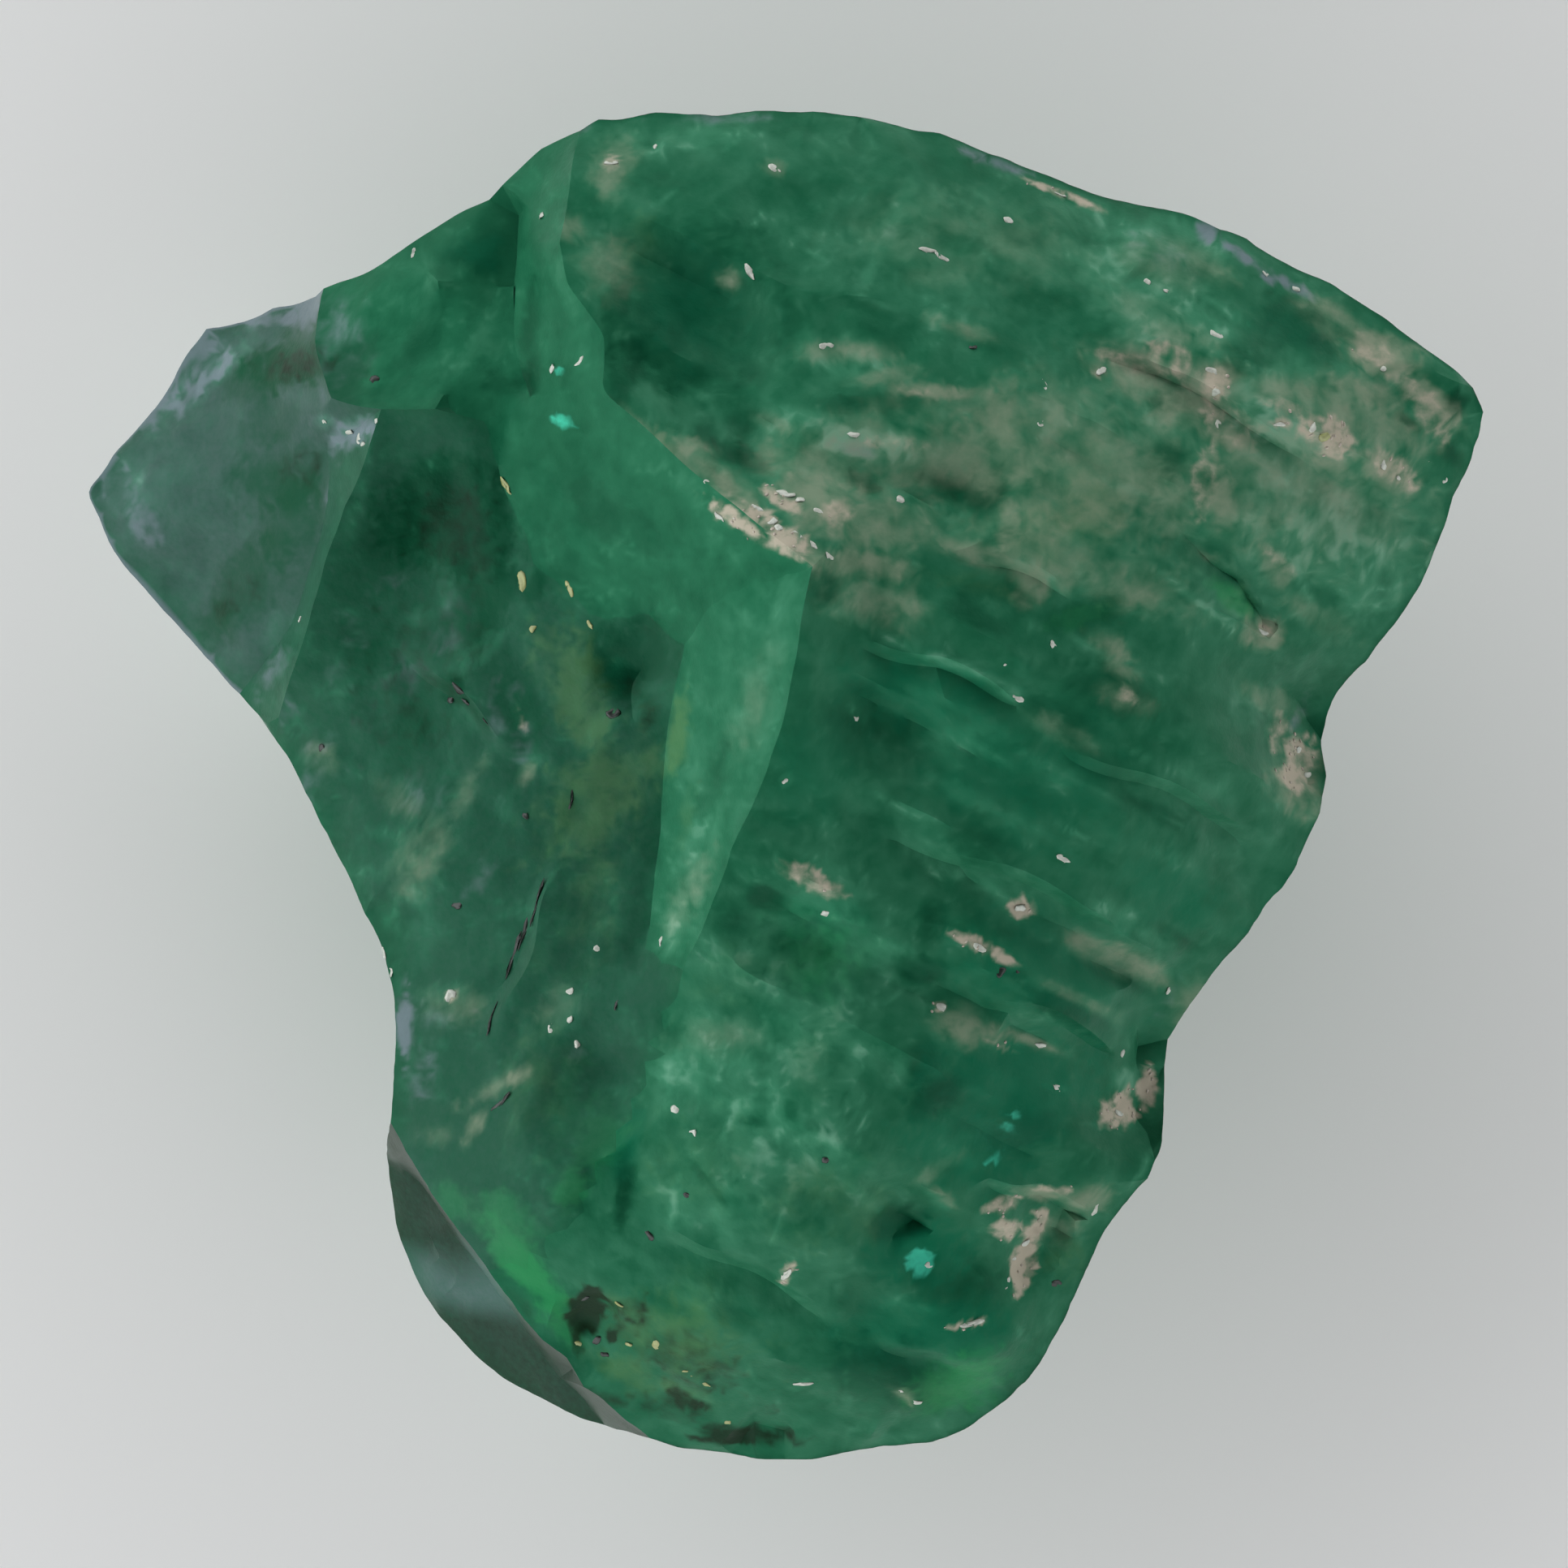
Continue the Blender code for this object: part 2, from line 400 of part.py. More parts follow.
def build_mesh():
    """Front and back nets joined along the contour into one closed body."""
    rng = np.random.default_rng(SEED)
    loop = []
    for start, end in zip(OUTLINE, OUTLINE[1:] + OUTLINE[:1]):
        loop += broken(along([start, end], LINE_STEP), LINE_ROUGHNESS)[:-1]
    rim = inset(loop, RIM_INSET, RIM_RISE)
    front_edges = [broken(along(line, LINE_STEP), LINE_ROUGHNESS) for line in FRONT_EDGES]
    swells = [p for line in FRONT_SWELLS for p in along(line, 0.6)] + rim[::2]
    front, front_faces, front_kind = sheet(loop, front_edges, ledge_lines(FRONT_LEDGES), swells, FRONT_GRAIN, rng)
    shape_front(front, front_kind, loop, [p for line in front_edges for p in line])

    back_edges = [along(line, LINE_STEP * 1.5) for line in back_lines()]
    grid = [(x, y, 0.0) for x in np.arange(-4, 4, 0.6) for y in np.arange(-4, 5, 0.6)]
    pad = [p for p, hit in zip(grid, inside(REST_FACE, np.array(grid)[:, :2])) if hit]
    back, back_faces, back_kind = sheet(loop, back_edges, ledge_lines(BACK_LEDGES), pad, BACK_GRAIN, rng)
    shape_back(back, back_kind, loop)
    back[inside(REST_FACE, back[:, :2]), 2] = 0.0
    back[distance_to(along([p + (0.0,) for p in REST_FACE + REST_FACE[:1]], 0.02), back) < 0.02, 2] = 0.0

    bm = bmesh.new()
    contour = {(round(p.x, 3), round(p.y, 3)): bm.verts.new(p) for p in loop}
    for net, faces, flip in ((front, front_faces, False), (back, back_faces, True)):
        corners = []
        for x, y, z in net:
            corners.append(contour.get((round(x, 3), round(y, 3))) or bm.verts.new((x, y, z)))
        for face in faces:
            ring = [corners[i] for i in face]
            bm.faces.new(ring[::-1] if flip else ring)
    bmesh.ops.remove_doubles(bm, verts=bm.verts[:], dist=0.03)
    bmesh.ops.recalc_face_normals(bm, faces=bm.faces[:])
    fit_to_size(bm)
    mesh = bpy.data.meshes.new("emerald_crystal")
    bm.to_mesh(mesh)
    bm.free()
    return mesh


def fit_to_size(bm):
    """Brings the box of the body to the driving sizes, resting on Z = 0."""
    places = np.array([tuple(v.co) for v in bm.verts])
    low, high = places.min(axis=0), places.max(axis=0)
    middle = (low + high) / 2
    scale = np.array([WIDTH, HEIGHT, THICKNESS]) / (high - low)
    for vert, place in zip(bm.verts, places):
        x, y = (place[:2] - middle[:2]) * scale[:2]
        vert.co = Vector((x, y, (place[2] - low[2]) * scale[2])) * MM


def emerald():
    """Green beryl, clear to cloudy."""
    material = bpy.data.materials.new("emerald_green_beryl")
    material.use_nodes = True
    shader = material.node_tree.nodes["Principled BSDF"]
    shader.inputs["Base Color"].default_value = (0.022, 0.118, 0.068, 1.0)
    shader.inputs["Roughness"].default_value = 0.30
    shader.inputs["IOR"].default_value = 1.58
    material.diffuse_color = (0.022, 0.118, 0.068, 1.0)
    return material


def main():
    for old in list(bpy.data.objects):
        bpy.data.objects.remove(old, do_unlink=True)
    stone = bpy.data.objects.new("emerald_crystal", build_mesh())
    stone.data.materials.append(emerald())
    bpy.context.scene.collection.objects.link(stone)


main()
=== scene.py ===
"""Rough emerald crystal on a plain pale floor: a clear to cloudy green beryl fragment, seen from above.

Plan positions and half lengths in the tables are in hundredths of a millimetre, in the frame of the
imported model, with X to the right and Y up in the view. Strengths are in hundredths, turns in degrees.
"""

import math

import bmesh
import bpy
import numpy as np
from bpy.props import FloatProperty, FloatVectorProperty, IntProperty, PointerProperty
from mathutils import Matrix, Vector, noise
from mathutils.bvhtree import BVHTree


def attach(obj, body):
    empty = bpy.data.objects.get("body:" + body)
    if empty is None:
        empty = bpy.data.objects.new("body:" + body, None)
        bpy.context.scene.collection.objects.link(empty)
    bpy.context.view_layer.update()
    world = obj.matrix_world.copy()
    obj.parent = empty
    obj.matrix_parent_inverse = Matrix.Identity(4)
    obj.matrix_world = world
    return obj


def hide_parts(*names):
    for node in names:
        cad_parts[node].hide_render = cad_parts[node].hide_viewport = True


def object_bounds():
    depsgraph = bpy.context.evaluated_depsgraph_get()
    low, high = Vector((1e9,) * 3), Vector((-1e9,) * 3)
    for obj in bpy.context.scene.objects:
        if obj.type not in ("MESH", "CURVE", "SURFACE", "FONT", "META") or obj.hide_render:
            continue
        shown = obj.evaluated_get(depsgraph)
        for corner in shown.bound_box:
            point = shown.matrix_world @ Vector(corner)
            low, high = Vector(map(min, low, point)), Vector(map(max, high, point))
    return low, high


bl_info = {
    "name": "Rough emerald crystal",
    "version": (1, 0, 0),
    "blender": (4, 5, 0),
    "location": "3D View > Sidebar > Emerald",
    "description": "Builds a rough emerald crystal with its veils, stains and grains, and a plain stage",
    "category": "Add Mesh",
}

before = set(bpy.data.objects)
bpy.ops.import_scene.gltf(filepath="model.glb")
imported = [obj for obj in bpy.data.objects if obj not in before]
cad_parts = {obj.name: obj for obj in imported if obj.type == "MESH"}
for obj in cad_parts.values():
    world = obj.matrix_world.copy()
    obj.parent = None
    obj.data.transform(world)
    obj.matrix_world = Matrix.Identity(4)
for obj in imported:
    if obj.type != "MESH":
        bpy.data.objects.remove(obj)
CAD_LOW, CAD_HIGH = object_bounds()
MM = 0.001
# Units of the tables in one millimetre, and in a strength of one.
PLAN = 100
NODE = "emerald_crystal"
BODY = "root"
# Direction of the growth lines on the wide face, in degrees.
DIP = -27.0
# Refractive index of beryl, and near enough that of calcite.
IOR = 1.58
# Grain of the fracture surface and of the flakes, in millimetres.
GRAIN = 0.10
# How far the outline of a flake strays, in millimetres.
FLAKE_ROUGH = 0.09
# Size of the cloudy patches in a flake, in millimetres.
FLAKE_CLOUD = 0.05
# Strength of the calcite stain from which grains grow on it.
GRAINS_FROM = 0.35
# Share of a facet's own colour that stays when its colour runs into its neighbours', and how far it runs.
OWN_TONE = 0.35
TONE_ROUNDS = 40
# Where the painted bluish highlight band crosses the lobe's painted shade, in millimetres along Y.
BAND = -6.35
# Width of the camera's sensor, and the point it looks down on, at the height where the stone is widest.
SENSOR = 36.0
AIM = (0.052, 0.047, 5.5)
# Strength of the ring light from the left and from the right, and of the backdrop as the camera sees it.
LEFT_LIGHT = 3.4
RIGHT_LIGHT = 1.4
BACKDROP = 0.70

# Facets of the front seen from above, as the corners of each; the rest of the front is the wide face.
FACETS = {
    "lobe": [
        (-500, -430), (-480, -467), (-434, -539), (-372, -618), (-306, -711), (-273, -731), (-252, -770),
        (-202, -806), (-168, -838), (-227, -890), (-600, -890), (-600, -430),
    ],
    "strip": [
        (-355, 773), (-305, 835), (-250, 870), (-266, 788), (-279, 695), (-270, 641), (-223, 577),
        (-226, 506), (-322, 501), (-339, 577), (-340, 643), (-334, 735),
    ],
    "shade": [
        (-480, 720), (-413, 760), (-355, 773), (-334, 735), (-340, 643), (-438, 649), (-480, 695),
    ],
    "fan": [
        (-586, 670), (-480, 720), (-480, 695), (-438, 649), (-340, 643), (-339, 577), (-322, 501),
        (-376, 469), (-439, 485), (-509, 485), (-574, 501), (-600, 568), (-586, 643),
    ],
    "central": [
        (-376, 469), (-322, 501), (-226, 506), (-95, 389), (41, 280), (-81, 240), (-121, 181), (-168, 222),
        (-243, 219), (-314, 292), (-353, 391),
    ],
    "wall": [
        (41, 280), (25, 208), (11, 115), (-17, 13), (-61, -72), (-97, -177), (-124, -229), (-168, -203),
        (-153, -49), (-147, 82), (-121, 181), (-81, 240),
    ],
    "narrow": [
        (-509, 485), (-543, 386), (-576, 313), (-608, 208), (-628, 141), (-652, 66), (-699, 100), (-699, 123),
        (-628, 214), (-584, 344), (-579, 432),
    ],
    "tip": [
        (-699, 123), (-699, 90), (-950, 90), (-950, 700), (-586, 700), (-586, 643), (-600, 568), (-574, 501),
        (-509, 485), (-579, 432), (-584, 344), (-628, 214),
    ],
    "basin": [
        (-509, 485), (-439, 485), (-376, 469), (-353, 391), (-314, 292), (-243, 219), (-168, 222),
        (-121, 181), (-147, 82), (-153, -49), (-168, -203), (-124, -229), (-190, -420), (-300, -600),
        (-372, -618), (-434, -539), (-480, -467), (-500, -430), (-650, -430), (-700, 50), (-652, 66),
        (-628, 141), (-608, 208), (-576, 313), (-543, 386),
    ],
}
FACET_NAMES = ["back", "wide"] + list(FACETS)
# Facets that broke more evenly than the others.
CALM_FACETS = ("central", "strip", "fan", "narrow", "shade")
# How milky, see-through, olive and lilac-grey each facet is, and how uneven its colour is. The milk tone is
# partly painted light and shade: besides cloudiness it sets how light or dark each facet looks.
FACET_TONES = {
    "back": (0.32, 0.16, 0.10, 0.00, 1.0), "wide": (0.41, 0.14, 0.00, 0.00, 1.0),
    "lobe": (0.00, 0.00, 0.00, 0.36, 0.0), "strip": (0.17, 0.06, 0.00, 0.12, 1.0),
    "shade": (0.18, 0.16, 0.00, 0.00, 0.9), "fan": (0.27, 0.08, 0.00, 0.06, 1.0),
    "central": (0.19, 0.06, 0.00, 0.08, 1.1), "wall": (0.38, 0.06, 0.00, 0.10, 1.2),
    "narrow": (0.18, 0.16, 0.00, 0.19, 0.9), "tip": (0.05, 0.26, 0.00, 0.43, 1.2),
    "basin": (0.00, 0.14, 0.00, 0.25, 1.3),
}
# Where each kind of zone starts to fade and where it ends, in half lengths.
FADES = {
    "haze": (0.15, 1.30), "dark": (0.45, 1.20), "sea": (0.10, 1.30), "olive": (0.10, 1.30),
    "fresh": (0.20, 1.25), "lilac": (0.20, 1.30), "film": (0.20, 1.35), "teal": (0.40, 1.20),
    "rust_and_shade": (0.30, 1.25), "chalk": (0.55, 1.15),
}
# Kinds of zone that add up where they overlap; of the others the strongest counts.
ADDED = ("haze", "dark")
# Colours that lie over the body one after the other: the strength where each starts, the strength
# where it is full, its share there, and how much the grain of the surface breaks it up.
LAYERS = {
    "sea": (0.10, 0.90, 0.90, 0.5), "olive": (0.10, 0.90, 0.85, 0.5), "fresh": (0.10, 0.90, 0.85, 0.5),
    "lilac": (0.10, 0.90, 0.90, 0.5), "film": (-0.05, 0.70, 0.80, 0.5), "teal": (0.30, 0.85, 1.00, 0.5),
    "rust_and_shade": (0.20, 0.80, 0.90, 0.5), "chalk": (0.05, 0.95, 0.92, 1.2),
}
# Kinds of unevenness: size in millimetres, octaves, how far each is drawn out along the growth lines
# (nought where it is not), and a shift that sets it apart from the others.
PATTERNS = {
    "broad": (2.6, 3, 0, 21.0), "veils": (1.1, 4, 0, 13.0), "mottle": (0.36, 4, 0, 17.0),
    "puffs": (0.15, 2, 0, 51.0),
    "streaks": (0.26, 3, 5.0, 11.0), "threads": (0.8, 2, 1.8, 41.0), "wisps": (0.34, 2, 1.5, 71.0),
    "brim": (0.9, 4, 0, 0.0), "fringe": (0.28, 3, 0, 7.0), "fray": (0.1, 2, 0, 0.0),
    "fracture": (0.55, 4, 0, 3.0), "crust": (0.14, 3, 0, 5.0),
}
# Fractal settings that all kinds of unevenness share, and the shift and length of the growth lines.
ROUGHNESS = 0.9
LACUNARITY = 2.1
GROWTH_SHIFT = 9.0
GROWTH_LENGTH = 6.0
# Zones by kind and the facets they keep to: centre, half lengths, turn, strength.
ZONES = {
    # Partly painted highlights: the small zones at (-543, 452), (-585, 469), (-618, 218), (-706, 539) and
    # (-739, 512) paint bluish highlights; the rest are veils.
    ("haze", "tip"): [
        (-734, 536, 83, 19, 50, 70), (-706, 539, 15, 12, 0, 25), (-739, 512, 15, 10, 40, 25),
        (-845, 386, 73, 35, 62, 22), (-652, 211, 57, 35, 55, 22), (-543, 452, 27, 21, 30, 95),
        (-585, 469, 15, 11, 0, 50), (-618, 218, 12, 9, 0, 60), (-566, 417, 31, 21, 0, 25),
        (-782, 511, 73, 17, 50, 30), (-543, 452, 35, 27, 30, 30), (-793, 386, 83, 62, 0, 12),
    ],
    ("haze", "fan"): [
        (-501, 605, 62, 31, 75, 6), (-418, 594, 57, 17, 80, 8), (-511, 521, 62, 10, 20, 14),
        (-386, 573, 52, 12, 60, 14), (-501, 563, 62, 42, 0, 6), (-480, 490, 62, 15, 15, 6),
    ],
    ("haze", "strip"): [
        (-272, 615, 62, 27, 75, 10), (-256, 573, 52, 10, -76, 16), (-282, 646, 52, 21, -80, 10),
        (-251, 469, 42, 17, -60, 20),
    ],
    ("haze", "central"): [
        (-105, 292, 52, 21, -50, 12), (-272, 511, 21, 10, 0, 16), (-64, 292, 62, 15, -50, 16),
    ],
    ("haze", "wall"): [
        (-121, -160, 62, 25, 66, 26), (-1, 240, 48, 15, 68, 16), (-64, 94, 62, 31, 70, 8),
        (-114, 231, 31, 15, 0, 30), (-131, 178, 21, 12, 60, 25), (-110, -93, 73, 25, 68, 20),
        (-1, 188, 62, 12, 72, 16), (-116, 198, 42, 17, 80, 16), (-32, 115, 94, 31, 74, 6),
    ],
    ("haze", "wide"): [
        (-173, 709, 57, 73, 0, 10), (-119, 828, 125, 25, 0, 22), (155, 740, 57, 15, 70, 20),
        (119, 667, 52, 12, 65, 14), (228, 615, 125, 47, -8, 8), (379, 751, 62, 21, -22, 12),
        (114, 433, 73, 21, -5, 50), (93, 443, 17, 9, 0, 25), (145, 426, 15, 9, 0, 25),
        (-11, 456, 14, 11, 0, 40), (481, 683, 83, 44, -22, 30), (574, 604, 48, 5, -32, 40),
        (384, 412, 109, 94, 0, 26), (384, 292, 94, 47, -10, 16), (538, 232, 57, 6, -38, 36),
        (655, 334, 94, 52, -15, 22), (728, 282, 73, 52, -60, 16), (530, 344, 62, 31, 0, 16),
        (223, 155, 92, 7, -22, 34), (296, 116, 19, 8, -25, 30), (217, 58, 33, 27, 30, 22),
        (285, 68, 62, 12, -10, 18), (96, 95, 18, 7, -50, 35), (7, 8, 10, 9, 0, 45),
        (198, -109, 25, 7, -55, 35), (353, 11, 62, 19, -28, 12), (301, -41, 94, 10, -28, 16),
        (239, -15, 73, 9, -35, 16), (436, -166, 83, 17, -27, 20), (478, -83, 73, 12, -27, 16),
        (535, 11, 62, 27, -20, 16), (156, -356, 31, 15, 60, 30), (-85, -364, 94, 73, 0, 20),
        (-32, -468, 104, 62, 0, 22), (-95, -531, 73, 52, 0, 12), (51, -270, 73, 62, 20, 14),
        (-251, -453, 52, 23, 60, 14), (-80, -643, 21, 6, 70, 30), (-38, -749, 29, 5, -55, 28),
        (-1, -697, 62, 27, -50, 10), (30, -764, 23, 4, 32, 40), (244, -776, 62, 31, 30, 10),
        (353, -383, 25, 5, -15, 36), (384, -429, 31, 5, -10, 24), (239, -442, 12, 9, 0, 30),
        (207, -432, 10, 8, 0, 24), (202, -526, 27, 7, -35, 30), (189, -665, 21, 5, -12, 34),
        (307, -697, 12, 6, -50, 40), (471, -482, 33, 4, 55, 40), (811, 334, 62, 15, 70, 12),
        (41, -374, 73, 94, 0, 22), (-1, -208, 62, 52, 0, 20), (-272, -531, 62, 52, 0, 18),
        (145, 11, 62, 62, -30, 10), (61, -135, 62, 42, 0, 10), (489, 532, 94, 42, -15, 28),
        (666, 459, 125, 38, -10, 24), (811, 490, 73, 31, -40, 26), (197, 678, 62, 27, -20, 20),
        (436, 626, 125, 42, -25, 18), (718, 303, 115, 62, -20, 16), (82, -354, 73, 73, 0, 14),
        (51, -499, 83, 62, 0, 12), (166, -218, 62, 42, 0, 10), (541, 698, 62, 15, -28, 30),
        (72, 553, 62, 31, 0, 22), (20, 469, 62, 21, -10, 30), (124, 428, 73, 21, -8, 24),
        (124, -218, 83, 52, 0, 12), (176, -333, 31, 21, 0, 14), (-64, -218, 62, 42, 0, 14),
        (51, -104, 42, 83, 0, 12), (145, 94, 62, 42, -20, 10), (291, 219, 62, 15, -30, 20),
        (82, 240, 62, 25, 0, 16), (-95, -656, 62, 35, -40, 12), (124, 386, 167, 83, -6, 12),
        (666, 448, 156, 94, -20, 14), (749, 323, 94, 52, -50, 10), (561, 573, 83, 31, -20, 14),
        (228, -468, 42, 12, -30, 20), (291, -374, 42, 10, -30, 16), (374, -343, 42, 10, -30, 20),
        (442, -380, 25, 21, 0, 34), (-116, -333, 62, 25, 60, 16), (197, 115, 125, 10, -22, 14),
        (374, 11, 115, 8, -27, 16), (228, -114, 94, 8, -30, 16), (353, -197, 94, 7, -27, 16),
        (311, -260, 62, 6, -30, 20), (-1, -406, 17, 52, 0, 16), (72, -458, 15, 42, 20, 16),
        (103, -520, 42, 10, -40, 16), (666, 428, 229, 156, -20, 12), (478, 573, 135, 73, -12, 12),
        (228, 678, 167, 83, 0, 5), (561, 245, 62, 17, -38, 16), (103, 209, 62, 8, -26, 24),
        (155, 178, 62, 5, -26, 26), (364, 344, 31, 6, -30, 20), (228, 344, 31, 5, 20, 24),
        (447, 376, 35, 6, -20, 24), (499, 261, 42, 5, -40, 24), (666, 261, 42, 6, -60, 24),
        (395, 178, 52, 5, -30, 24), (145, -20, 42, 5, -30, 24), (270, 42, 31, 5, -30, 26),
        (457, 42, 42, 5, -26, 24), (520, -52, 42, 5, -26, 24), (384, -62, 42, 5, -26, 24),
        (280, -135, 31, 5, -26, 24), (134, -270, 35, 5, 30, 26), (103, -427, 31, 5, 60, 24),
        (-1, -552, 35, 5, 70, 24), (-64, -427, 31, 5, 70, 24), (-136, -531, 35, 5, 80, 24),
        (93, -708, 42, 5, -20, 20), (239, -614, 31, 5, -40, 24), (145, -656, 31, 5, 30, 24),
        (-147, 751, 31, 4, 30, 24), (41, 678, 31, 4, -30, 24), (-32, 719, 25, 4, 50, 24),
        (124, 615, 35, 4, -20, 24), (259, 751, 31, 4, -40, 24), (384, 667, 35, 4, -30, 24),
        (374, 344, 115, 83, 0, 6), (-189, 563, 62, 62, 0, 6), (134, -114, 62, 73, -20, 10),
        (-22, -197, 94, 42, -10, 10), (134, 73, 62, 73, -20, 8), (270, -302, 62, 31, -20, 10),
        (249, -395, 73, 52, 0, 10), (72, 532, 52, 23, 0, 20), (-105, 428, 21, 10, 0, 10),
    ],
    ("haze", "basin"): [
        (-439, 414, 23, 11, -8, 45), (-496, 146, 21, 6, 20, 24), (-511, -57, 15, 10, 0, 22),
        (-527, -114, 19, 12, 0, 16), (-501, 11, 62, 42, 0, 8), (-501, -166, 31, 15, 75, 18),
        (-422, -265, 27, 19, 0, 40), (-433, -328, 10, 8, 0, 30), (-418, -390, 31, 15, 0, 12),
        (-319, 32, 25, 12, 60, 30), (-282, -145, 62, 31, 70, 12), (-209, -124, 73, 42, 75, 10),
        (-543, 365, 62, 12, 75, 14), (-207, 126, 19, 10, 60, 30), (-459, -93, 94, 52, 60, 14),
        (-459, -177, 62, 42, 60, 12), (-209, 157, 21, 12, 60, 30), (-355, -31, 52, 19, 60, 16),
        (-272, -83, 62, 21, 60, 14), (-230, 73, 52, 21, 60, 20), (-235, 126, 52, 25, -60, 20),
        (-329, 94, 42, 15, -66, 20), (-459, 219, 62, 17, 30, 20), (-376, 178, 73, 15, 40, 20),
        (-543, 146, 62, 21, 60, 18), (-418, 42, 62, 21, 60, 14),
    ],
    ("dark", "tip"): [
        (-636, 544, 62, 31, -4, 44), (-642, 396, 73, 52, 20, 24), (-689, 266, 94, 46, 57, 30),
        (-728, 217, 35, 21, 57, 20), (-657, 469, 52, 31, 20, 18), (-616, 547, 31, 21, 0, 16),
        (-636, 344, 73, 42, 70, 24), (-607, 563, 65, 42, 10, 60), (-689, 521, 42, 27, 0, 25),
        (-647, 386, 62, 42, -30, 12),
    ],
    ("dark", "fan"): [
        (-527, 511, 21, 10, 0, 10), (-364, 515, 19, 19, 0, 18), (-459, 573, 62, 21, 60, 12),
        (-558, 527, 52, 35, 60, 24),
    ],
    ("dark", "shade"): [
        (-390, 686, 48, 27, 20, 24), (-376, 667, 25, 15, 20, 14),
    ],
    ("dark", "strip"): [
        (-325, 511, 31, 16, 86, 50), (-319, 594, 52, 10, 86, 16), (-314, 521, 42, 12, 84, 12),
    ],
    ("dark", "central"): [
        (-209, 344, 94, 31, -38, 10), (-272, 282, 52, 21, -60, 10),
    ],
    ("dark", "basin"): [
        (-427, 344, 83, 79, 0, 50), (-376, 303, 27, 44, 50, 22), (-480, 334, 42, 52, 30, 10),
        (-553, 178, 62, 42, 10, 10), (-376, 245, 62, 42, 60, 34), (-311, 261, 27, 12, 70, 34),
        (-418, 126, 21, 17, -40, 34), (-407, 110, 12, 8, 0, 24), (-384, 89, 25, 6, -50, 24),
        (-194, 165, 54, 46, 10, 56), (-194, 126, 31, 27, -30, 30), (-272, -31, 62, 15, 70, 10),
        (-511, 188, 62, 12, 60, 10), (-334, 105, 62, 31, -70, 16), (-470, 73, 62, 25, 60, 14),
        (-427, 344, 62, 62, 0, 16), (-168, 209, 21, 15, 0, 30), (-522, 282, 94, 52, 70, 10),
        (-501, -197, 62, 25, 80, 12), (-418, 396, 73, 42, 0, 14),
    ],
    ("dark", "wide"): [
        # The first zone is painted shade, where the wide face slopes away right of the strip.
        (-85, 605, 125, 109, 0, 24), (-199, 521, 52, 21, 70, 30), (-131, 563, 62, 62, 0, 10),
        (-209, 605, 52, 19, 80, 24), (-95, 452, 23, 19, 70, 34), (-44, 419, 42, 23, -25, 40),
        (-71, 386, 29, 9, -40, 34), (100, 488, 94, 16, 3, 22), (100, 391, 29, 15, -30, 40),
        (145, 584, 42, 31, 0, 14), (253, 372, 38, 40, 0, 26), (197, 396, 27, 19, 0, 20),
        (322, 594, 94, 62, 0, 12), (447, 657, 31, 12, 20, 16), (653, 594, 48, 35, -20, 30),
        (598, 553, 48, 33, 20, 32), (696, 557, 27, 23, -40, 24), (862, 492, 19, 17, -30, 60),
        (802, 467, 25, 10, -35, 50), (858, 427, 23, 15, -50, 30), (504, 490, 42, 17, 0, 30),
        (468, 524, 15, 10, 0, 34), (489, 417, 42, 27, 60, 16), (499, 334, 42, 17, 70, 12),
        (634, 344, 31, 21, 60, 20), (262, 233, 62, 35, 0, 20), (51, 251, 31, 25, 70, 22),
        (124, 73, 73, 65, -30, 20), (103, 126, 25, 12, -20, 14), (426, 126, 94, 31, -25, 20),
        (343, 94, 62, 21, -25, 16), (249, -72, 62, 31, -30, 18), (405, 32, 62, 15, -27, 16),
        (-21, -139, 31, 17, -20, 40), (-58, -177, 31, 25, -20, 26), (190, -177, 42, 21, 75, 26),
        (175, -229, 38, 21, -10, 34), (356, -281, 69, 19, -25, 40), (301, -239, 17, 9, 0, 24),
        (426, -239, 62, 15, -27, 26), (499, -187, 52, 10, -27, 16), (176, -343, 31, 25, 60, 34),
        (207, -385, 27, 19, 0, 30), (259, -395, 83, 62, -20, 24), (384, -447, 83, 42, -10, 16),
        (152, -554, 35, 25, 22, 42), (228, -635, 62, 42, -20, 24), (145, -739, 73, 38, -8, 20),
        (239, -697, 62, 25, 0, 12), (103, -645, 42, 42, 0, 18), (-206, -356, 60, 23, 85, 40),
        (-199, -512, 50, 14, 85, 46), (-251, -552, 62, 27, -40, 12), (-32, -424, 21, 9, -10, 24),
        (-95, -499, 35, 6, -50, 20), (311, -760, 62, 25, 55, 10), (561, 527, 25, 15, 0, 30),
        (709, 448, 21, 15, 60, 34), (697, 511, 25, 15, 0, 16), (749, 573, 21, 12, 0, 20),
        (207, 646, 52, 25, 0, 14), (291, 698, 42, 25, 0, 14), (395, 344, 62, 25, 0, 12),
        (155, -760, 115, 52, -6, 24), (-334, -552, 62, 31, -30, 16), (197, -395, 42, 25, 30, 24),
        (311, -437, 52, 21, 0, 20), (-209, -427, 83, 31, 85, 24), (291, -187, 73, 15, -28, 16),
        (478, -31, 83, 12, -27, 16), (197, 386, 62, 21, -10, 16), (384, 219, 62, 25, 20, 24),
        (-53, -374, 25, 21, 0, 20), (-1, -447, 25, 21, 0, 20), (-95, -499, 25, 31, 0, 16),
        (-147, -322, 31, 21, 0, 16),
    ],
    ("olive", "basin"): [
        (-259, 126, 123, 54, -64, 95), (-230, -10, 146, 77, 52, 80), (-241, -124, 104, 48, 80, 48),
        (-314, -218, 73, 62, 0, 26), (-241, -166, 115, 52, 80, 40), (-314, -374, 125, 62, 75, 40),
    ],
    ("olive", "wide"): [
        (379, 386, 115, 115, 0, 34), (291, 448, 73, 52, 0, 30), (-178, 698, 52, 62, 0, 40),
        (-151, 428, 62, 25, -45, 34), (114, 813, 115, 25, 0, 20), (-192, -749, 79, 35, -20, 80),
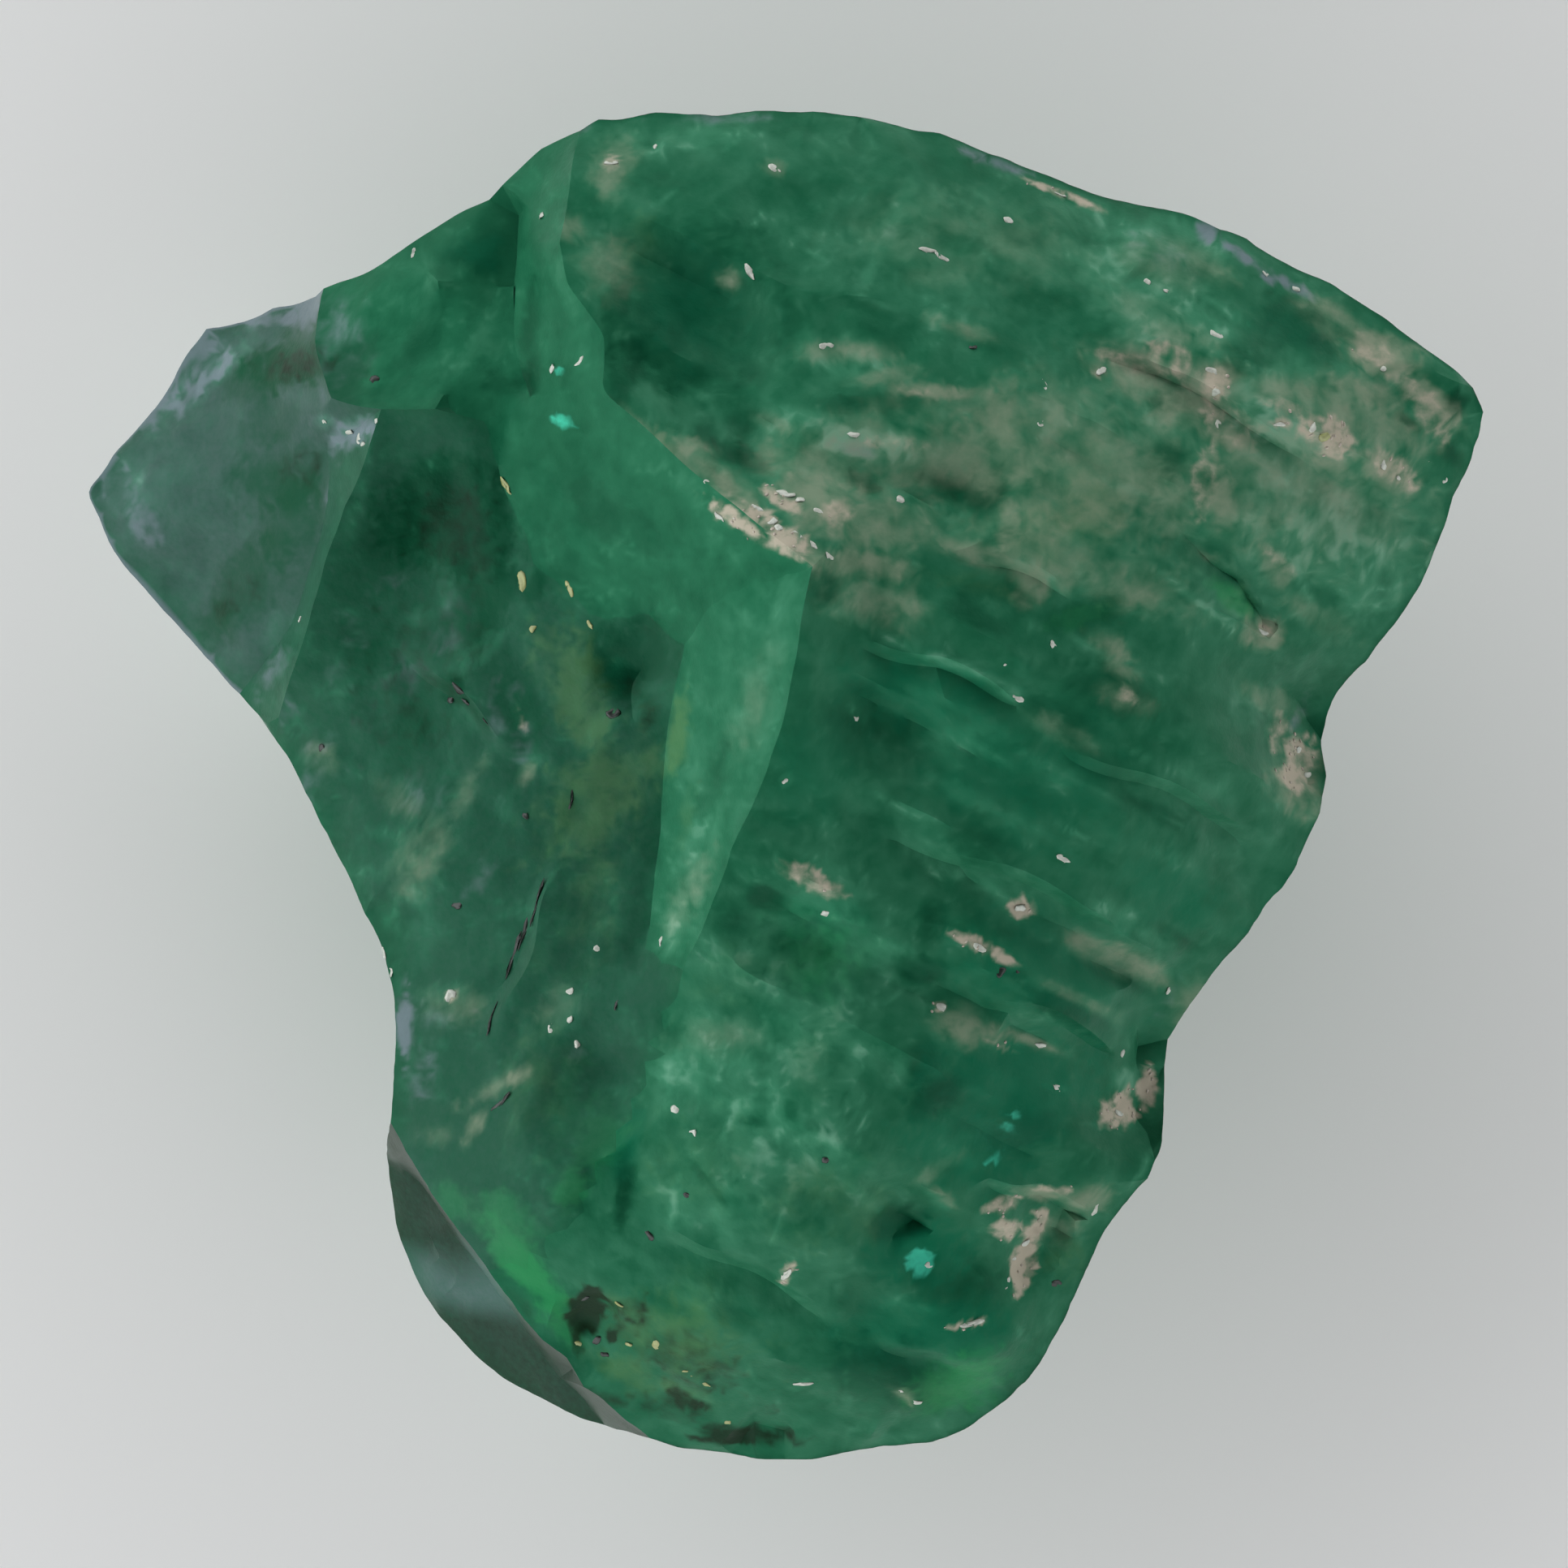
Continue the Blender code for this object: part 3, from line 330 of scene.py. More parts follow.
        (-105, -781, 62, 25, -20, 50), (364, -598, 58, 46, 70, 44), (-64, -239, 73, 62, 0, 30),
        (-11, -614, 62, 62, 0, 14), (301, 282, 62, 42, 0, 24), (364, 386, 156, 125, 0, 30),
        (353, 334, 125, 73, 0, 40), (61, -531, 125, 104, 0, 40), (-105, -468, 125, 94, 0, 34),
        (-126, -697, 146, 83, -20, 70), (-95, -645, 94, 73, -40, 40), (374, 344, 115, 83, 0, 50),
        (51, -343, 62, 94, 0, 30), (239, 261, 115, 27, -10, 34),
    ],
    ("fresh", "wide basin"): [
        (-327, -611, 104, 31, -52, 90), (-418, -531, 52, 35, -50, 50), (-267, -510, 46, 31, 60, 55),
    ],
    ("fresh", "wide"): [
        (-272, -697, 42, 21, -60, 60), (291, -749, 99, 27, 50, 20), (51, -218, 73, 73, 0, 40),
        (-1, -166, 62, 31, 0, 24), (41, -208, 125, 62, 0, 30), (228, -749, 83, 42, 20, 50),
        (228, -760, 94, 52, 20, 70), (-126, -656, 94, 62, 0, 24), (572, 245, 52, 19, -38, 60),
        (384, 219, 62, 25, 20, 40),
    ],
    ("lilac", "tip"): [
        (-725, 321, 46, 52, 0, 45), (-668, 292, 31, 42, 0, 25), (-636, 607, 83, 15, 10, 100),
        (-761, 542, 104, 35, 50, 85), (-866, 386, 62, 25, 60, 60), (-814, 490, 73, 25, 50, 60),
        (-793, 511, 94, 31, 50, 90), (-746, 527, 94, 19, 50, 120), (-824, 344, 94, 25, -55, 60),
    ],
    ("lilac", "narrow"): [
        (-657, 146, 62, 17, 60, 50),
    ],
    ("lilac", "basin"): [
        (-600, 51, 25, 23, -60, 75), (-454, -15, 62, 52, -30, 35), (-511, -114, 62, 52, 60, 20),
        (-329, 73, 35, 17, 80, 45), (-433, -302, 62, 52, 0, 34), (-482, -312, 62, 15, 90, 90),
        (-459, -374, 62, 21, 85, 50), (-522, 178, 208, 94, 80, 30), (-459, 386, 94, 62, 0, 24),
        (-376, -31, 62, 52, 0, 24), (-418, -135, 125, 73, 60, 24), (-272, -333, 42, 21, 0, 30),
        (-355, -447, 62, 31, 0, 20), (-636, 105, 52, 21, 60, 40), (-605, 11, 62, 25, 70, 40),
        (-418, 219, 62, 42, 60, 40), (-480, 136, 52, 31, 60, 40), (-386, -114, 73, 27, 60, 36),
        (-334, 42, 42, 17, 70, 50), (-355, 105, 73, 38, 70, 40), (-501, 261, 62, 21, 30, 40),
    ],
    ("lilac", "wide"): [
        (547, 711, 17, 17, 0, 100), (593, 678, 52, 12, -32, 80), (624, 652, 17, 9, -30, 90),
        (481, 683, 73, 31, -22, 35), (-84, 855, 125, 12, 0, 40), (280, 797, 62, 10, -20, 60),
        (-272, 834, 62, 10, 30, 50), (499, -281, 62, 12, 60, 30), (666, 94, 42, 12, 60, 50),
        (103, 428, 42, 17, -10, 50), (655, 641, 42, 9, -32, 80), (499, -270, 52, 12, 62, 50),
    ],
    # Turquoise zones are painted highlights: bright sparks of light from inside the crystal.
    ("teal", "wide"): [
        (178, -607, 24, 23, 30, 80), (288, -431, 15, 9, -30, 62), (300, -418, 12, 7, -30, 66),
        (268, -477, 15, 8, 30, 62), (272, -437, 46, 52, 0, 34), (343, -374, 31, 15, -20, 24),
        (-203, -531, 46, 17, 85, 26),
    ],
    ("teal", "strip central"): [
        (-280, 467, 25, 15, -22, 66), (-258, 459, 9, 6, 0, 50),
    ],
    ("teal", "strip"): [
        (-282, 530, 12, 9, 0, 55), (-272, 501, 27, 25, 0, 20),
    ],
    ("teal", "tip"): [
        (-543, 453, 27, 19, 30, 30),
    ],
    ("rust_and_shade", "wide"): [
        (-246, -671, 42, 27, 70, 120), (-216, -704, 11, 15, 0, 96), (-259, -723, 12, 12, 0, 72),
        (-155, -732, 23, 10, -10, 66), (-120, -787, 48, 17, -16, 79), (-58, -837, 58, 12, 4, 108),
        (-11, -799, 15, 15, 0, 48), (-209, 766, 42, 31, 60, 24), (-105, -739, 115, 62, -20, 50),
        (-32, -833, 94, 21, -4, 70), (-189, -677, 52, 31, 60, 60), (249, -374, 94, 52, 0, 20),
        (-230, -781, 62, 15, -20, 60), (-168, -793, 94, 17, -18, 50), (-334, -656, 52, 15, -55, 40),
    ],
    ("rust_and_shade", "basin"): [
        (-428, 334, 79, 58, 30, 60), (-386, 292, 52, 38, 60, 50), (-189, 126, 25, 21, 60, 50),
        (-209, -10, 62, 42, 80, 20), (-282, -249, 62, 31, 80, 22), (-168, 94, 42, 25, 60, 50),
        (-418, 323, 73, 52, 60, 50), (-459, 157, 229, 125, 75, 42), (-376, -93, 115, 73, 60, 32),
    ],
    ("film", "wide"): [
        (-216, 787, 52, 31, 80, 36), (-199, 808, 25, 31, 0, 30), (-267, 714, 23, 23, 0, 45),
        (-218, 662, 42, 48, 0, 30), (-62, 646, 19, 16, 0, 50), (-7, 788, 17, 12, 0, 34),
        (132, 521, 62, 12, 8, 35), (193, 503, 67, 11, -4, 58), (230, 582, 52, 12, -20, 36),
        (119, 426, 83, 19, -5, 50), (51, 360, 83, 44, -20, 62), (-136, 417, 48, 15, -40, 40),
        (291, 344, 52, 23, 80, 46), (259, 292, 94, 19, -18, 40), (319, 265, 38, 17, 70, 40),
        (128, 237, 65, 25, -20, 42), (277, 469, 58, 46, 70, 44), (353, 490, 83, 31, 10, 24),
        (458, 542, 65, 19, -8, 72), (436, 511, 31, 12, -60, 45), (509, 576, 62, 19, -14, 42),
        (481, 667, 62, 31, -22, 30), (700, 604, 28, 20, 0, 56), (766, 553, 52, 29, -12, 80),
        (838, 490, 54, 23, -42, 66), (749, 501, 62, 23, -20, 60), (658, 502, 62, 23, -10, 50),
        (566, 445, 52, 18, -14, 84), (603, 386, 94, 31, -10, 34), (704, 409, 62, 21, -20, 56),
        (668, 366, 44, 21, 0, 44), (770, 407, 62, 27, -30, 60), (291, 347, 12, 10, 0, 60),
        (328, 245, 21, 12, 60, 50), (547, 296, 19, 8, -20, 50), (630, 282, 38, 19, -60, 42),
        (617, 194, 31, 23, 0, 84), (421, 178, 40, 16, -35, 42), (431, 152, 31, 15, -35, 44),
        (686, 219, 62, 21, -30, 24), (624, 115, 62, 17, -26, 30), (666, 11, 52, 42, -60, 50),
        (240, -305, 50, 27, -18, 66), (323, -324, 48, 8, -22, 60), (402, -207, 56, 17, -26, 44),
        (457, -229, 62, 21, -26, 50), (520, -281, 48, 25, 70, 40), (384, -270, 73, 9, -26, 30),
        (-85, -318, 62, 27, 0, 20), (327, -518, 35, 9, -6, 60), (395, -529, 35, 21, 10, 70),
        (359, -564, 48, 27, 20, 40), (197, -489, 42, 12, 30, 24), (207, -520, 31, 6, -40, 40),
        (158, -777, 23, 8, -28, 50), (384, 396, 198, 125, -5, 34), (666, 386, 177, 115, -15, 36),
        (489, 521, 115, 48, -12, 56), (728, 469, 125, 42, -16, 50), (197, 428, 167, 69, -8, 34),
        (124, 230, 73, 38, -10, 34), (384, 282, 156, 42, -20, 34), (-64, 376, 94, 25, -42, 60),
        (197, 657, 62, 25, 0, 14), (457, 610, 62, 27, -20, 24), (530, 490, 62, 46, 0, 60),
        (561, 376, 31, 62, 0, 60), (759, 344, 52, 42, -20, 24), (103, 282, 94, 23, -8, 50),
        (447, 251, 62, 17, -20, 34), (442, 115, 42, 21, -25, 34), (353, 73, 62, 17, -27, 24),
        (197, -614, 10, 8, 0, 20), (51, 412, 115, 52, -10, 36), (124, 334, 104, 42, -6, 40),
        (-1, 459, 42, 15, -20, 30), (-168, 438, 62, 15, -50, 44), (82, 553, 62, 17, 0, 40),
        (239, 698, 177, 73, -10, 16), (541, 667, 62, 21, -30, 34), (707, 594, 62, 21, -30, 40),
    ],
    ("film", "basin"): [
        (-336, -369, 23, 12, 30, 62), (-376, -390, 48, 15, 30, 34), (-392, -435, 31, 12, 60, 50),
        (-439, -447, 31, 17, 0, 15), (-282, -281, 42, 31, 0, 15), (-418, -281, 42, 31, 0, 24),
        (-480, -20, 52, 23, -30, 20), (-595, 42, 27, 19, -40, 40), (-324, 16, 19, 10, 60, 40),
        (-459, -83, 62, 31, 60, 30), (-402, -5, 52, 17, 60, 24),
    ],
    ("chalk", "wide"): [
        (-22, 339, 62, 19, -34, 100), (1, 363, 42, 12, -30, 80), (72, 344, 27, 19, 0, 57),
        (696, 451, 54, 27, -22, 92), (640, 464, 21, 9, 0, 69), (785, 405, 42, 17, -34, 62),
        (759, 553, 35, 15, -10, 52), (566, 443, 35, 9, -14, 52), (452, 545, 35, 8, -8, 52),
        (407, 529, 12, 9, 0, 69), (553, 511, 27, 17, 80, 69), (364, 758, 67, 6, -21, 98),
        (666, 34, 42, 27, 80, 86), (40, -118, 48, 16, -27, 60), (305, -153, 19, 17, 0, 98),
        (262, -205, 44, 10, -26, 92), (205, -279, 10, 9, 0, 69), (280, -328, 31, 5, -20, 46),
        (435, -412, 29, 25, 0, 130), (472, -390, 31, 15, 80, 120), (316, -602, 62, 19, 74, 120),
        (282, -535, 25, 12, 20, 80), (353, -515, 31, 5, -4, 57), (8, -620, 21, 8, 60, 80),
        (244, -686, 33, 6, 10, 86), (168, -789, 17, 5, -30, 69), (617, 198, 17, 12, 0, 52),
        (124, 435, 25, 8, 0, 46), (-216, 797, 12, 15, 0, 52), (176, 501, 31, 6, 0, 34),
        (546, 474, 35, 15, -80, 60), (499, 553, 42, 15, -20, 55), (832, 490, 46, 15, -36, 50),
        (541, 396, 62, 21, 80, 46), (499, 537, 35, 17, -30, 60), (645, 485, 52, 12, -20, 40),
        (811, 501, 52, 15, -40, 50), (634, 292, 42, 10, -40, 34), (442, 117, 27, 12, -30, 40),
        (291, -565, 27, 15, 0, 80), (832, 469, 42, 19, -50, 44), (155, 436, 52, 10, -8, 34),
        (416, 553, 21, 10, 0, 40), (759, 563, 42, 17, -34, 30), (520, 521, 52, 17, -20, 40),
        (457, 537, 62, 15, -10, 40), (582, 469, 42, 15, -30, 36), (640, 68, 35, 15, 80, 60),
    ],
    ("chalk", "basin"): [
        (-422, -267, 15, 11, 0, 63), (-333, 90, 23, 8, -68, 40),
    ],
    ("sea", "wide"): [
        (301, 21, 271, 135, -27, 50), (353, -239, 208, 115, -27, 60), (249, -447, 125, 104, 0, 70),
        (166, -697, 135, 94, 0, 60), (-105, 615, 115, 104, 0, 50), (645, 584, 94, 42, -20, 50),
        (41, 21, 83, 125, -20, 40), (134, -552, 52, 42, 0, 40), (332, 573, 94, 52, 0, 30),
        (301, -374, 156, 115, -20, 90), (176, -593, 94, 62, 0, 90), (228, -697, 115, 73, 0, 80),
        (176, 115, 156, 83, -20, 60), (509, -135, 125, 62, -30, 60), (51, -166, 94, 52, 0, 40),
        (-199, -447, 83, 31, 85, 80),
    ],
    ("sea", "shade"): [
        (-386, 688, 62, 42, 0, 50),
    ],
    ("sea", "basin"): [
        (-178, 178, 52, 52, 0, 40), (-209, 146, 52, 42, 0, 50), (-272, -291, 62, 31, 60, 50),
    ],
    ("fresh", "basin"): [
        (-272, -406, 104, 35, 76, 30),
    ],
    ("fresh", "basin wide"): [
        (-350, -552, 83, 42, -20, 55), (-230, -447, 73, 52, 80, 40),
    ],
    ("film", "wall"): [
        (-116, -135, 62, 23, 66, 30), (-32, 105, 83, 25, 72, 16),
    ],
    ("dark", "wall"): [
        (-84, 11, 73, 15, 70, 12),
    ],
    ("chalk", "central wide"): [
        (-49, 334, 56, 14, -36, 95), (-1, 311, 42, 10, -36, 80),
    ],
    ("haze", "central wide"): [
        (-64, 344, 94, 27, -36, 20),
    ],
    ("olive", "wall"): [
        (-130, 73, 73, 19, 80, 90), (-116, -31, 62, 15, 76, 40),
    ],
    ("lilac", "fan"): [
        (-572, 563, 100, 65, 80, 40),
    ],
    # Painted highlight: this lilac zone and the haze zone below paint a bluish highlight where the tip, the
    # narrow facet and the fan meet.
    ("lilac", "tip narrow fan"): [
        (-549, 452, 46, 27, 20, 120),
    ],
    ("haze", "tip narrow fan"): [
        (-547, 453, 31, 21, 20, 40),
    ],
    ("rust_and_shade", "tip fan"): [
        (-620, 544, 62, 29, 8, 66),
    ],
    ("rust_and_shade", "tip"): [
        (-618, 412, 52, 35, 0, 50), (-699, 245, 73, 35, 40, 45),
    ],
}
# Hollows with a crisp brim, and fills where the depth is negative: centre, half lengths, turn, depth.
PITS = [
    (545, 495, 110, 16, -33, -7), (578, 265, 60, 16, -45, -7), (-45, 445, 26, 34, 10, 9),
    (215, 380, 32, 28, 0, 8), (152, -553, 30, 24, 20, 6), (620, 195, 26, 20, 0, 6),
    (177, -605, 22, 30, -20, 7), (310, -602, 20, 52, -8, 7), (-325, 510, 15, 22, 0, 8),
    (-420, -670, 30, 16, 60, 5), (260, -405, 30, 16, -27, 6), (-240, -675, 28, 26, 0, 10),
    (440, 535, 22, 15, 0, 6),
]
# Pale and yellow flakes that are painted glints, and dark grains, one by one: centre, half lengths, turn.
MARKS = {
    "white": [
        (-469, 686, 7, 4, 80), (-304, 730, 6, 5, 0), (-290, 533, 7, 5, 80), (-255, 542, 9, 3, 18),
        (-7, 789, 9, 5, -28), (-38, 656, 12, 4, -62), (188, 683, 12, 4, -12), (207, 674, 12, 3, -34),
        (291, 723, 6, 5, 0), (60, 560, 10, 4, 0), (7, 372, 14, 5, -22), (25, 364, 6, 4, -20),
        (-11, 337, 7, 5, 20), (-77, 342, 8, 4, -34), (62, 293, 7, 4, -20), (49, 348, 7, 4, -30),
        (22, 319, 9, 4, -34), (-27, 353, 8, 3, -34), (41, 307, 8, 3, -38), (151, 365, 6, 5, 0),
        (93, 447, 9, 4, -10), (330, 462, 5, 5, 0), (335, 511, 9, 3, -76), (493, 632, 4, 4, 0),
        (468, 645, 4, 4, 0), (660, 637, 7, 5, 20), (621, 655, 5, 4, 0), (556, 576, 10, 4, -38),
        (549, 530, 8, 4, -24), (553, 502, 7, 4, 60), (558, 462, 6, 5, 0), (407, 529, 8, 4, 30),
        (770, 534, 4, 4, 0), (678, 458, 9, 5, 34), (635, 462, 7, 4, 0), (770, 412, 9, 4, -50),
        (791, 396, 6, 3, -20), (851, 394, 6, 4, 20), (830, 413, 5, 4, 0), (347, 182, 6, 5, 0),
        (301, 113, 8, 4, -25), (281, 157, 9, 3, -16), (7, 8, 4, 4, 0), (96, 90, 7, 4, -50),
        (360, -90, 12, 4, -36), (58, -160, 7, 5, -10), (-152, -197, 9, 4, 86), (-232, -205, 6, 4, -10),
        (-422, -267, 9, 6, 22), (-294, -307, 7, 4, -78), (-259, -328, 5, 5, 0), (-269, -260, 5, 4, 0),
        (-267, -295, 4, 4, 0), (-133, -409, 7, 5, 44), (-110, -439, 5, 4, 0), (205, -279, 7, 5, -30),
        (499, -259, 5, 5, 0), (440, -341, 5, 5, 0), (355, -384, 10, 4, -14), (405, -541, 11, 4, 84),
        (-539, 447, 7, 5, 50), (-585, 469, 5, 4, 0), (-618, 218, 5, 4, 0), (-509, -212, 8, 3, -66),
        (-500, -237, 7, 3, -70), (190, -611, 5, 4, 40), (30, -764, 15, 3, 32), (8, -620, 12, 4, 62),
        (176, -788, 9, 3, -26), (155, -774, 5, 3, -20), (244, -686, 19, 4, 8), (314, -583, 6, 3, 60),
        (301, -602, 8, 3, 10), (291, -635, 8, 3, 50), (435, -418, 8, 5, 0), (305, -153, 7, 5, 0),
        (254, -203, 10, 4, -26), (334, -329, 12, 3, -18), (666, 47, 7, 5, 60), (678, 16, 6, 4, 0),
        (617, 198, 8, 4, 0), (353, 761, 15, 3, -20), (-160, 818, 5, 4, -40), (-216, 797, 9, 4, 0),
        (-551, 456, 8, 5, 40), (-533, 440, 6, 4, 0), (-516, 469, 5, 3, 20), (-58, 344, 5, 4, 0),
        (-3, 329, 6, 4, -30), (-92, 386, 6, 3, -34),
    ],
    "yellow": [
        (-350, 386, 16, 4, -48), (-329, 263, 15, 5, -78), (-269, 254, 11, 4, -62), (-243, 208, 9, 3, -55),
        (-206, -662, 7, 5, 80), (-159, -713, 9, 5, 66), (-259, -713, 7, 4, -30), (-193, -713, 5, 3, 0),
        (-118, -751, 9, 4, -28), (-97, -764, 8, 3, -34), (-67, -816, 6, 5, 70), (693, 447, 8, 5, 20),
        (-316, 204, 6, 4, 40),
    ],
    "dark": [
        (-520, 522, 6, 5, 0), (-591, 51, 6, 4, 30), (-412, 126, 12, 5, -54), (-402, 109, 7, 4, -30),
        (-422, 113, 6, 4, 0), (-376, 82, 10, 2, -62), (-324, -35, 4, 4, 0), (-414, -151, 8, 5, -10),
        (-212, 95, 10, 6, 8), (-167, -571, 9, 4, -58), (-118, -518, 5, 4, 0), (57, -473, 5, 4, 0),
        (355, -636, 10, 5, -4), (519, 506, 6, 3, 80), (301, -235, 5, 4, 0), (281, -235, 7, 5, 20),
        (-369, -295, 25, 2, 72), (-357, -402, 21, 3, 24), (-341, -214, 35, 2, 64), (-311, -147, 35, 2, 68),
        (-328, -187, 25, 2, 70), (-209, -277, 8, 3, 86), (-266, -15, 17, 2, 74), (245, 559, 5, 4, 0),
        (-235, -708, 8, 5, 60), (-225, -727, 6, 4, 0), (-251, -654, 8, 4, 40),
    ],
}


def linear(code):
    """An sRGB hex colour as linear red, green and blue."""
    values = [int(code[i:i + 2], 16) / 255 for i in (1, 3, 5)]
    return tuple(v / 12.92 if v <= 0.04045 else ((v + 0.055) / 1.055) ** 2.4 for v in values)


def put(tree, kind, feeds=None, **settings):
    """Adds one node with its settings; a feed is a value or another node's output."""
    node = tree.nodes.new(kind)
    for name, value in settings.items():
        setattr(node, name, value)
    for socket, value in (feeds or {}).items():
        target = node.inputs[socket]
        if isinstance(value, bpy.types.NodeSocket):
            tree.links.new(value, target)
        else:
            target.default_value = value
    return node


def size_prop(name, text, millimetres):
    """A length that the sidebar shows in the scene's unit."""
    return FloatProperty(
        name=name, description=text, default=millimetres * MM, min=0.0, precision=6, unit="LENGTH")


def colour_prop(name, text, code):
    """A colour given as an sRGB hex code."""
    return FloatVectorProperty(
        name=name, description=text, default=linear(code), subtype="COLOR", min=0, max=1)


class EmeraldRelief(bpy.types.PropertyGroup):
    """Fine shape of the stone's surface."""
    levels: IntProperty(
        name="Subdivision", description="Rounds of subdivision of the packed solid", default=2, min=0)
    fracture: size_prop("Fracture grain", "Height of the uneven fracture surface", 0.022)
    striation: size_prop("Striation height", "Height of the fine growth lines on the wide face", 0.022)
    pitch: size_prop("Striation pitch", "Distance between the fine growth lines", 0.42)
    crust: size_prop("Stain crust", "How proud the pale stains stand", 0.030)
    sharp: FloatProperty(
        name="Sharp edge", description="Edges that turn more stay crisp", default=math.radians(30),
        subtype="ANGLE")


class EmeraldColours(bpy.types.PropertyGroup):
    """Colours of the crystal and of what grew in it, and of the painted highlights and shade."""
    deep: colour_prop("Deep green", "Clear crystal that light barely leaves", "#0C5236")
    body: colour_prop("Body green", "Slightly cloudy crystal", "#1F6647")
    milk: colour_prop("Milky green", "Cloudy crystal", "#377A5B")
    veil: colour_prop("Veil", "Dense white veils", "#649C80")
    olive: colour_prop("Olive", "Yellow-green body colour", "#46764A")
    sea: colour_prop("Sea green", "Bluish green of the clearest depths", "#0A6A4A")
    fresh: colour_prop("Leaf green", "Brightest green of the thin rims", "#288A50")
    # Lilac grey also paints bluish highlights, on the tip's steep rim and across the lobe.
    lilac: colour_prop("Lilac grey", "Bloom of the thin clear edges", "#728189")
    # Turquoise is a painted highlight colour: sparks of light from inside.
    teal: colour_prop("Turquoise", "Sparks from inside", "#45C8A6")
    # Iron brown also carries painted shade, on the lobe and along the wide face's steep rim.
    rust_and_shade: colour_prop("Iron brown", "Iron-stained inclusions", "#1B2517")
    film: colour_prop("Mineral film", "Thin pale film on the surface", "#829079")
    chalk: colour_prop("Calcite", "Dense pinkish mineral stain", "#B6AB9A")
    gloss: colour_prop("Gloss", "Tint of the glassy shine", "#2F9670")
    absorbed: colour_prop("Absorption", "Colour that passes through the crystal", "#18E4BD")
    density: FloatProperty(
        name="Absorption density", description="Absorption per metre", default=330.0, min=0)


class EmeraldGrains(bpy.types.PropertyGroup):
    """Flakes, specks and grains on the surface."""
    thin: FloatProperty(
        name="Flake thickness", description="Thickness of a flake over its width", default=0.25, min=0)
    grain: size_prop("Grain", "Half width of a pale mineral grain", 0.022)
    density: FloatProperty(
        name="Grains per square millimetre", description="On a fully stained place", default=60.0)
    seed: IntProperty(name="Seed", description="Where the grains fall", default=5)
    # The bright and yellow flakes are painted highlights: pale patches that stand for glints.
    white: colour_prop("Bright flake", "Fresh break of a calcite flake", "#C6CBBF")
    yellow: colour_prop("Yellow flake", "Iron-stained calcite flake", "#9FA56A")
    dark: colour_prop("Dark speck", "Biotite mica in the crystal", "#0A1C13")
    crumb: colour_prop("Grain colour", "Pinkish calcite grain", "#B9B0A1")


class EmeraldStage(bpy.types.PropertyGroup):
    """Floor, lights and camera."""
    floor: size_prop("Floor", "Width of the floor", 3000.0)
    floor_colour: colour_prop("Floor colour", "Matt pale floor", "#F5F5F3")
    view: size_prop("View width", "Width of the picture at the widest part of the stone", 20.125)
    lens: FloatProperty(name="Lens", description="Focal length in millimetres", default=400.0)
    light: FloatProperty(name="Key light", description="Power of the key light", default=0.88, unit="POWER")


def smoothstep(low, high, value):
    """Eases from nought at low to one at high."""
    t = np.clip((value - low) / (high - low), 0.0, 1.0)
    return t * t * (3.0 - 2.0 * t)


def inside(corners, points):
    """True for each point inside the polygon, seen from above."""
    corners = [(x / PLAN, y / PLAN) for x, y in corners]
    hits = np.zeros(len(points), dtype=bool)
    x, y = points[:, 0], points[:, 1]
    for (x0, y0), (x1, y1) in zip(corners, corners[1:] + corners[:1]):
        if y0 != y1:
            hits ^= ((y0 > y) != (y1 > y)) & (x < (x1 - x0) * (y - y0) / (y1 - y0) + x0)
    return hits


def lumps(points, size, octaves, shift):
    """Fractal unevenness of the given size in millimetres, roughly between minus and plus one."""
    moved = points / size + shift
    return np.array([noise.fractal(Vector(p), ROUGHNESS, LACUNARITY, octaves) for p in moved])


def pattern(name, points):
    """One of the named kinds of unevenness at every point."""
    size, octaves, drawn_out, shift = PATTERNS[name]
    return lumps(along_growth(points, drawn_out) if drawn_out else points, size, octaves, shift)


def turned(x, y, length, breadth, turn):
    """Coordinates in an ellipse's own frame, one at its rim."""
    c, s = math.cos(math.radians(turn)), math.sin(math.radians(turn))
    return (x * c + y * s) / length, (-x * s + y * c) / breadth


def subdivided_solid(relief):
    """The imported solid, merged, with its facets numbered, as a smooth mesh that keeps its edges."""
    bm = bmesh.new()
    bm.from_mesh(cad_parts[NODE].data)
    bmesh.ops.remove_doubles(bm, verts=bm.verts[:], dist=1e-6)
    facet = bm.faces.layers.int.new("facet")
    crease = bm.edges.layers.float.new("crease_edge")
    bm.faces.ensure_lookup_table()
    centres = np.array([tuple(f.calc_center_median()) for f in bm.faces]) / MM
    number = np.ones(len(centres), dtype=int)
    for name, corners in reversed(FACETS.items()):
        number[inside(corners, centres)] = FACET_NAMES.index(name)
    for face, index in zip(bm.faces, number):
        face[facet] = int(index) if face.normal.z > 0 else 0
        face.smooth = True
    for edge in bm.edges:
        turn = edge.calc_face_angle(0.0)
        edge[crease] = min(1.0, max(0.0, (turn - 0.6 * relief.sharp) / (0.4 * relief.sharp)))
        edge.smooth = edge.link_faces[0][facet] == edge.link_faces[1][facet] and turn < relief.sharp
    bmesh.ops.join_triangles(
        bm, faces=bm.faces[:], cmp_sharp=True, angle_face_threshold=math.radians(35),
        angle_shape_threshold=math.radians(50))
    for edge in bm.edges:
        edge.smooth = True
    mesh = bpy.data.meshes.new("emerald_stone")
    bm.to_mesh(mesh)
    bm.free()
    stone = bpy.data.objects.new("emerald_stone", mesh)
    bpy.context.scene.collection.objects.link(stone)
    smooth = stone.modifiers.new("Subdivision", "SUBSURF")
    smooth.levels = smooth.render_levels = relief.levels
    applied = bpy.data.meshes.new_from_object(stone.evaluated_get(bpy.context.evaluated_depsgraph_get()))
    stone.modifiers.clear()
    stone.data = applied
    bpy.data.meshes.remove(mesh)
    applied.name = "emerald_stone"
    return stone


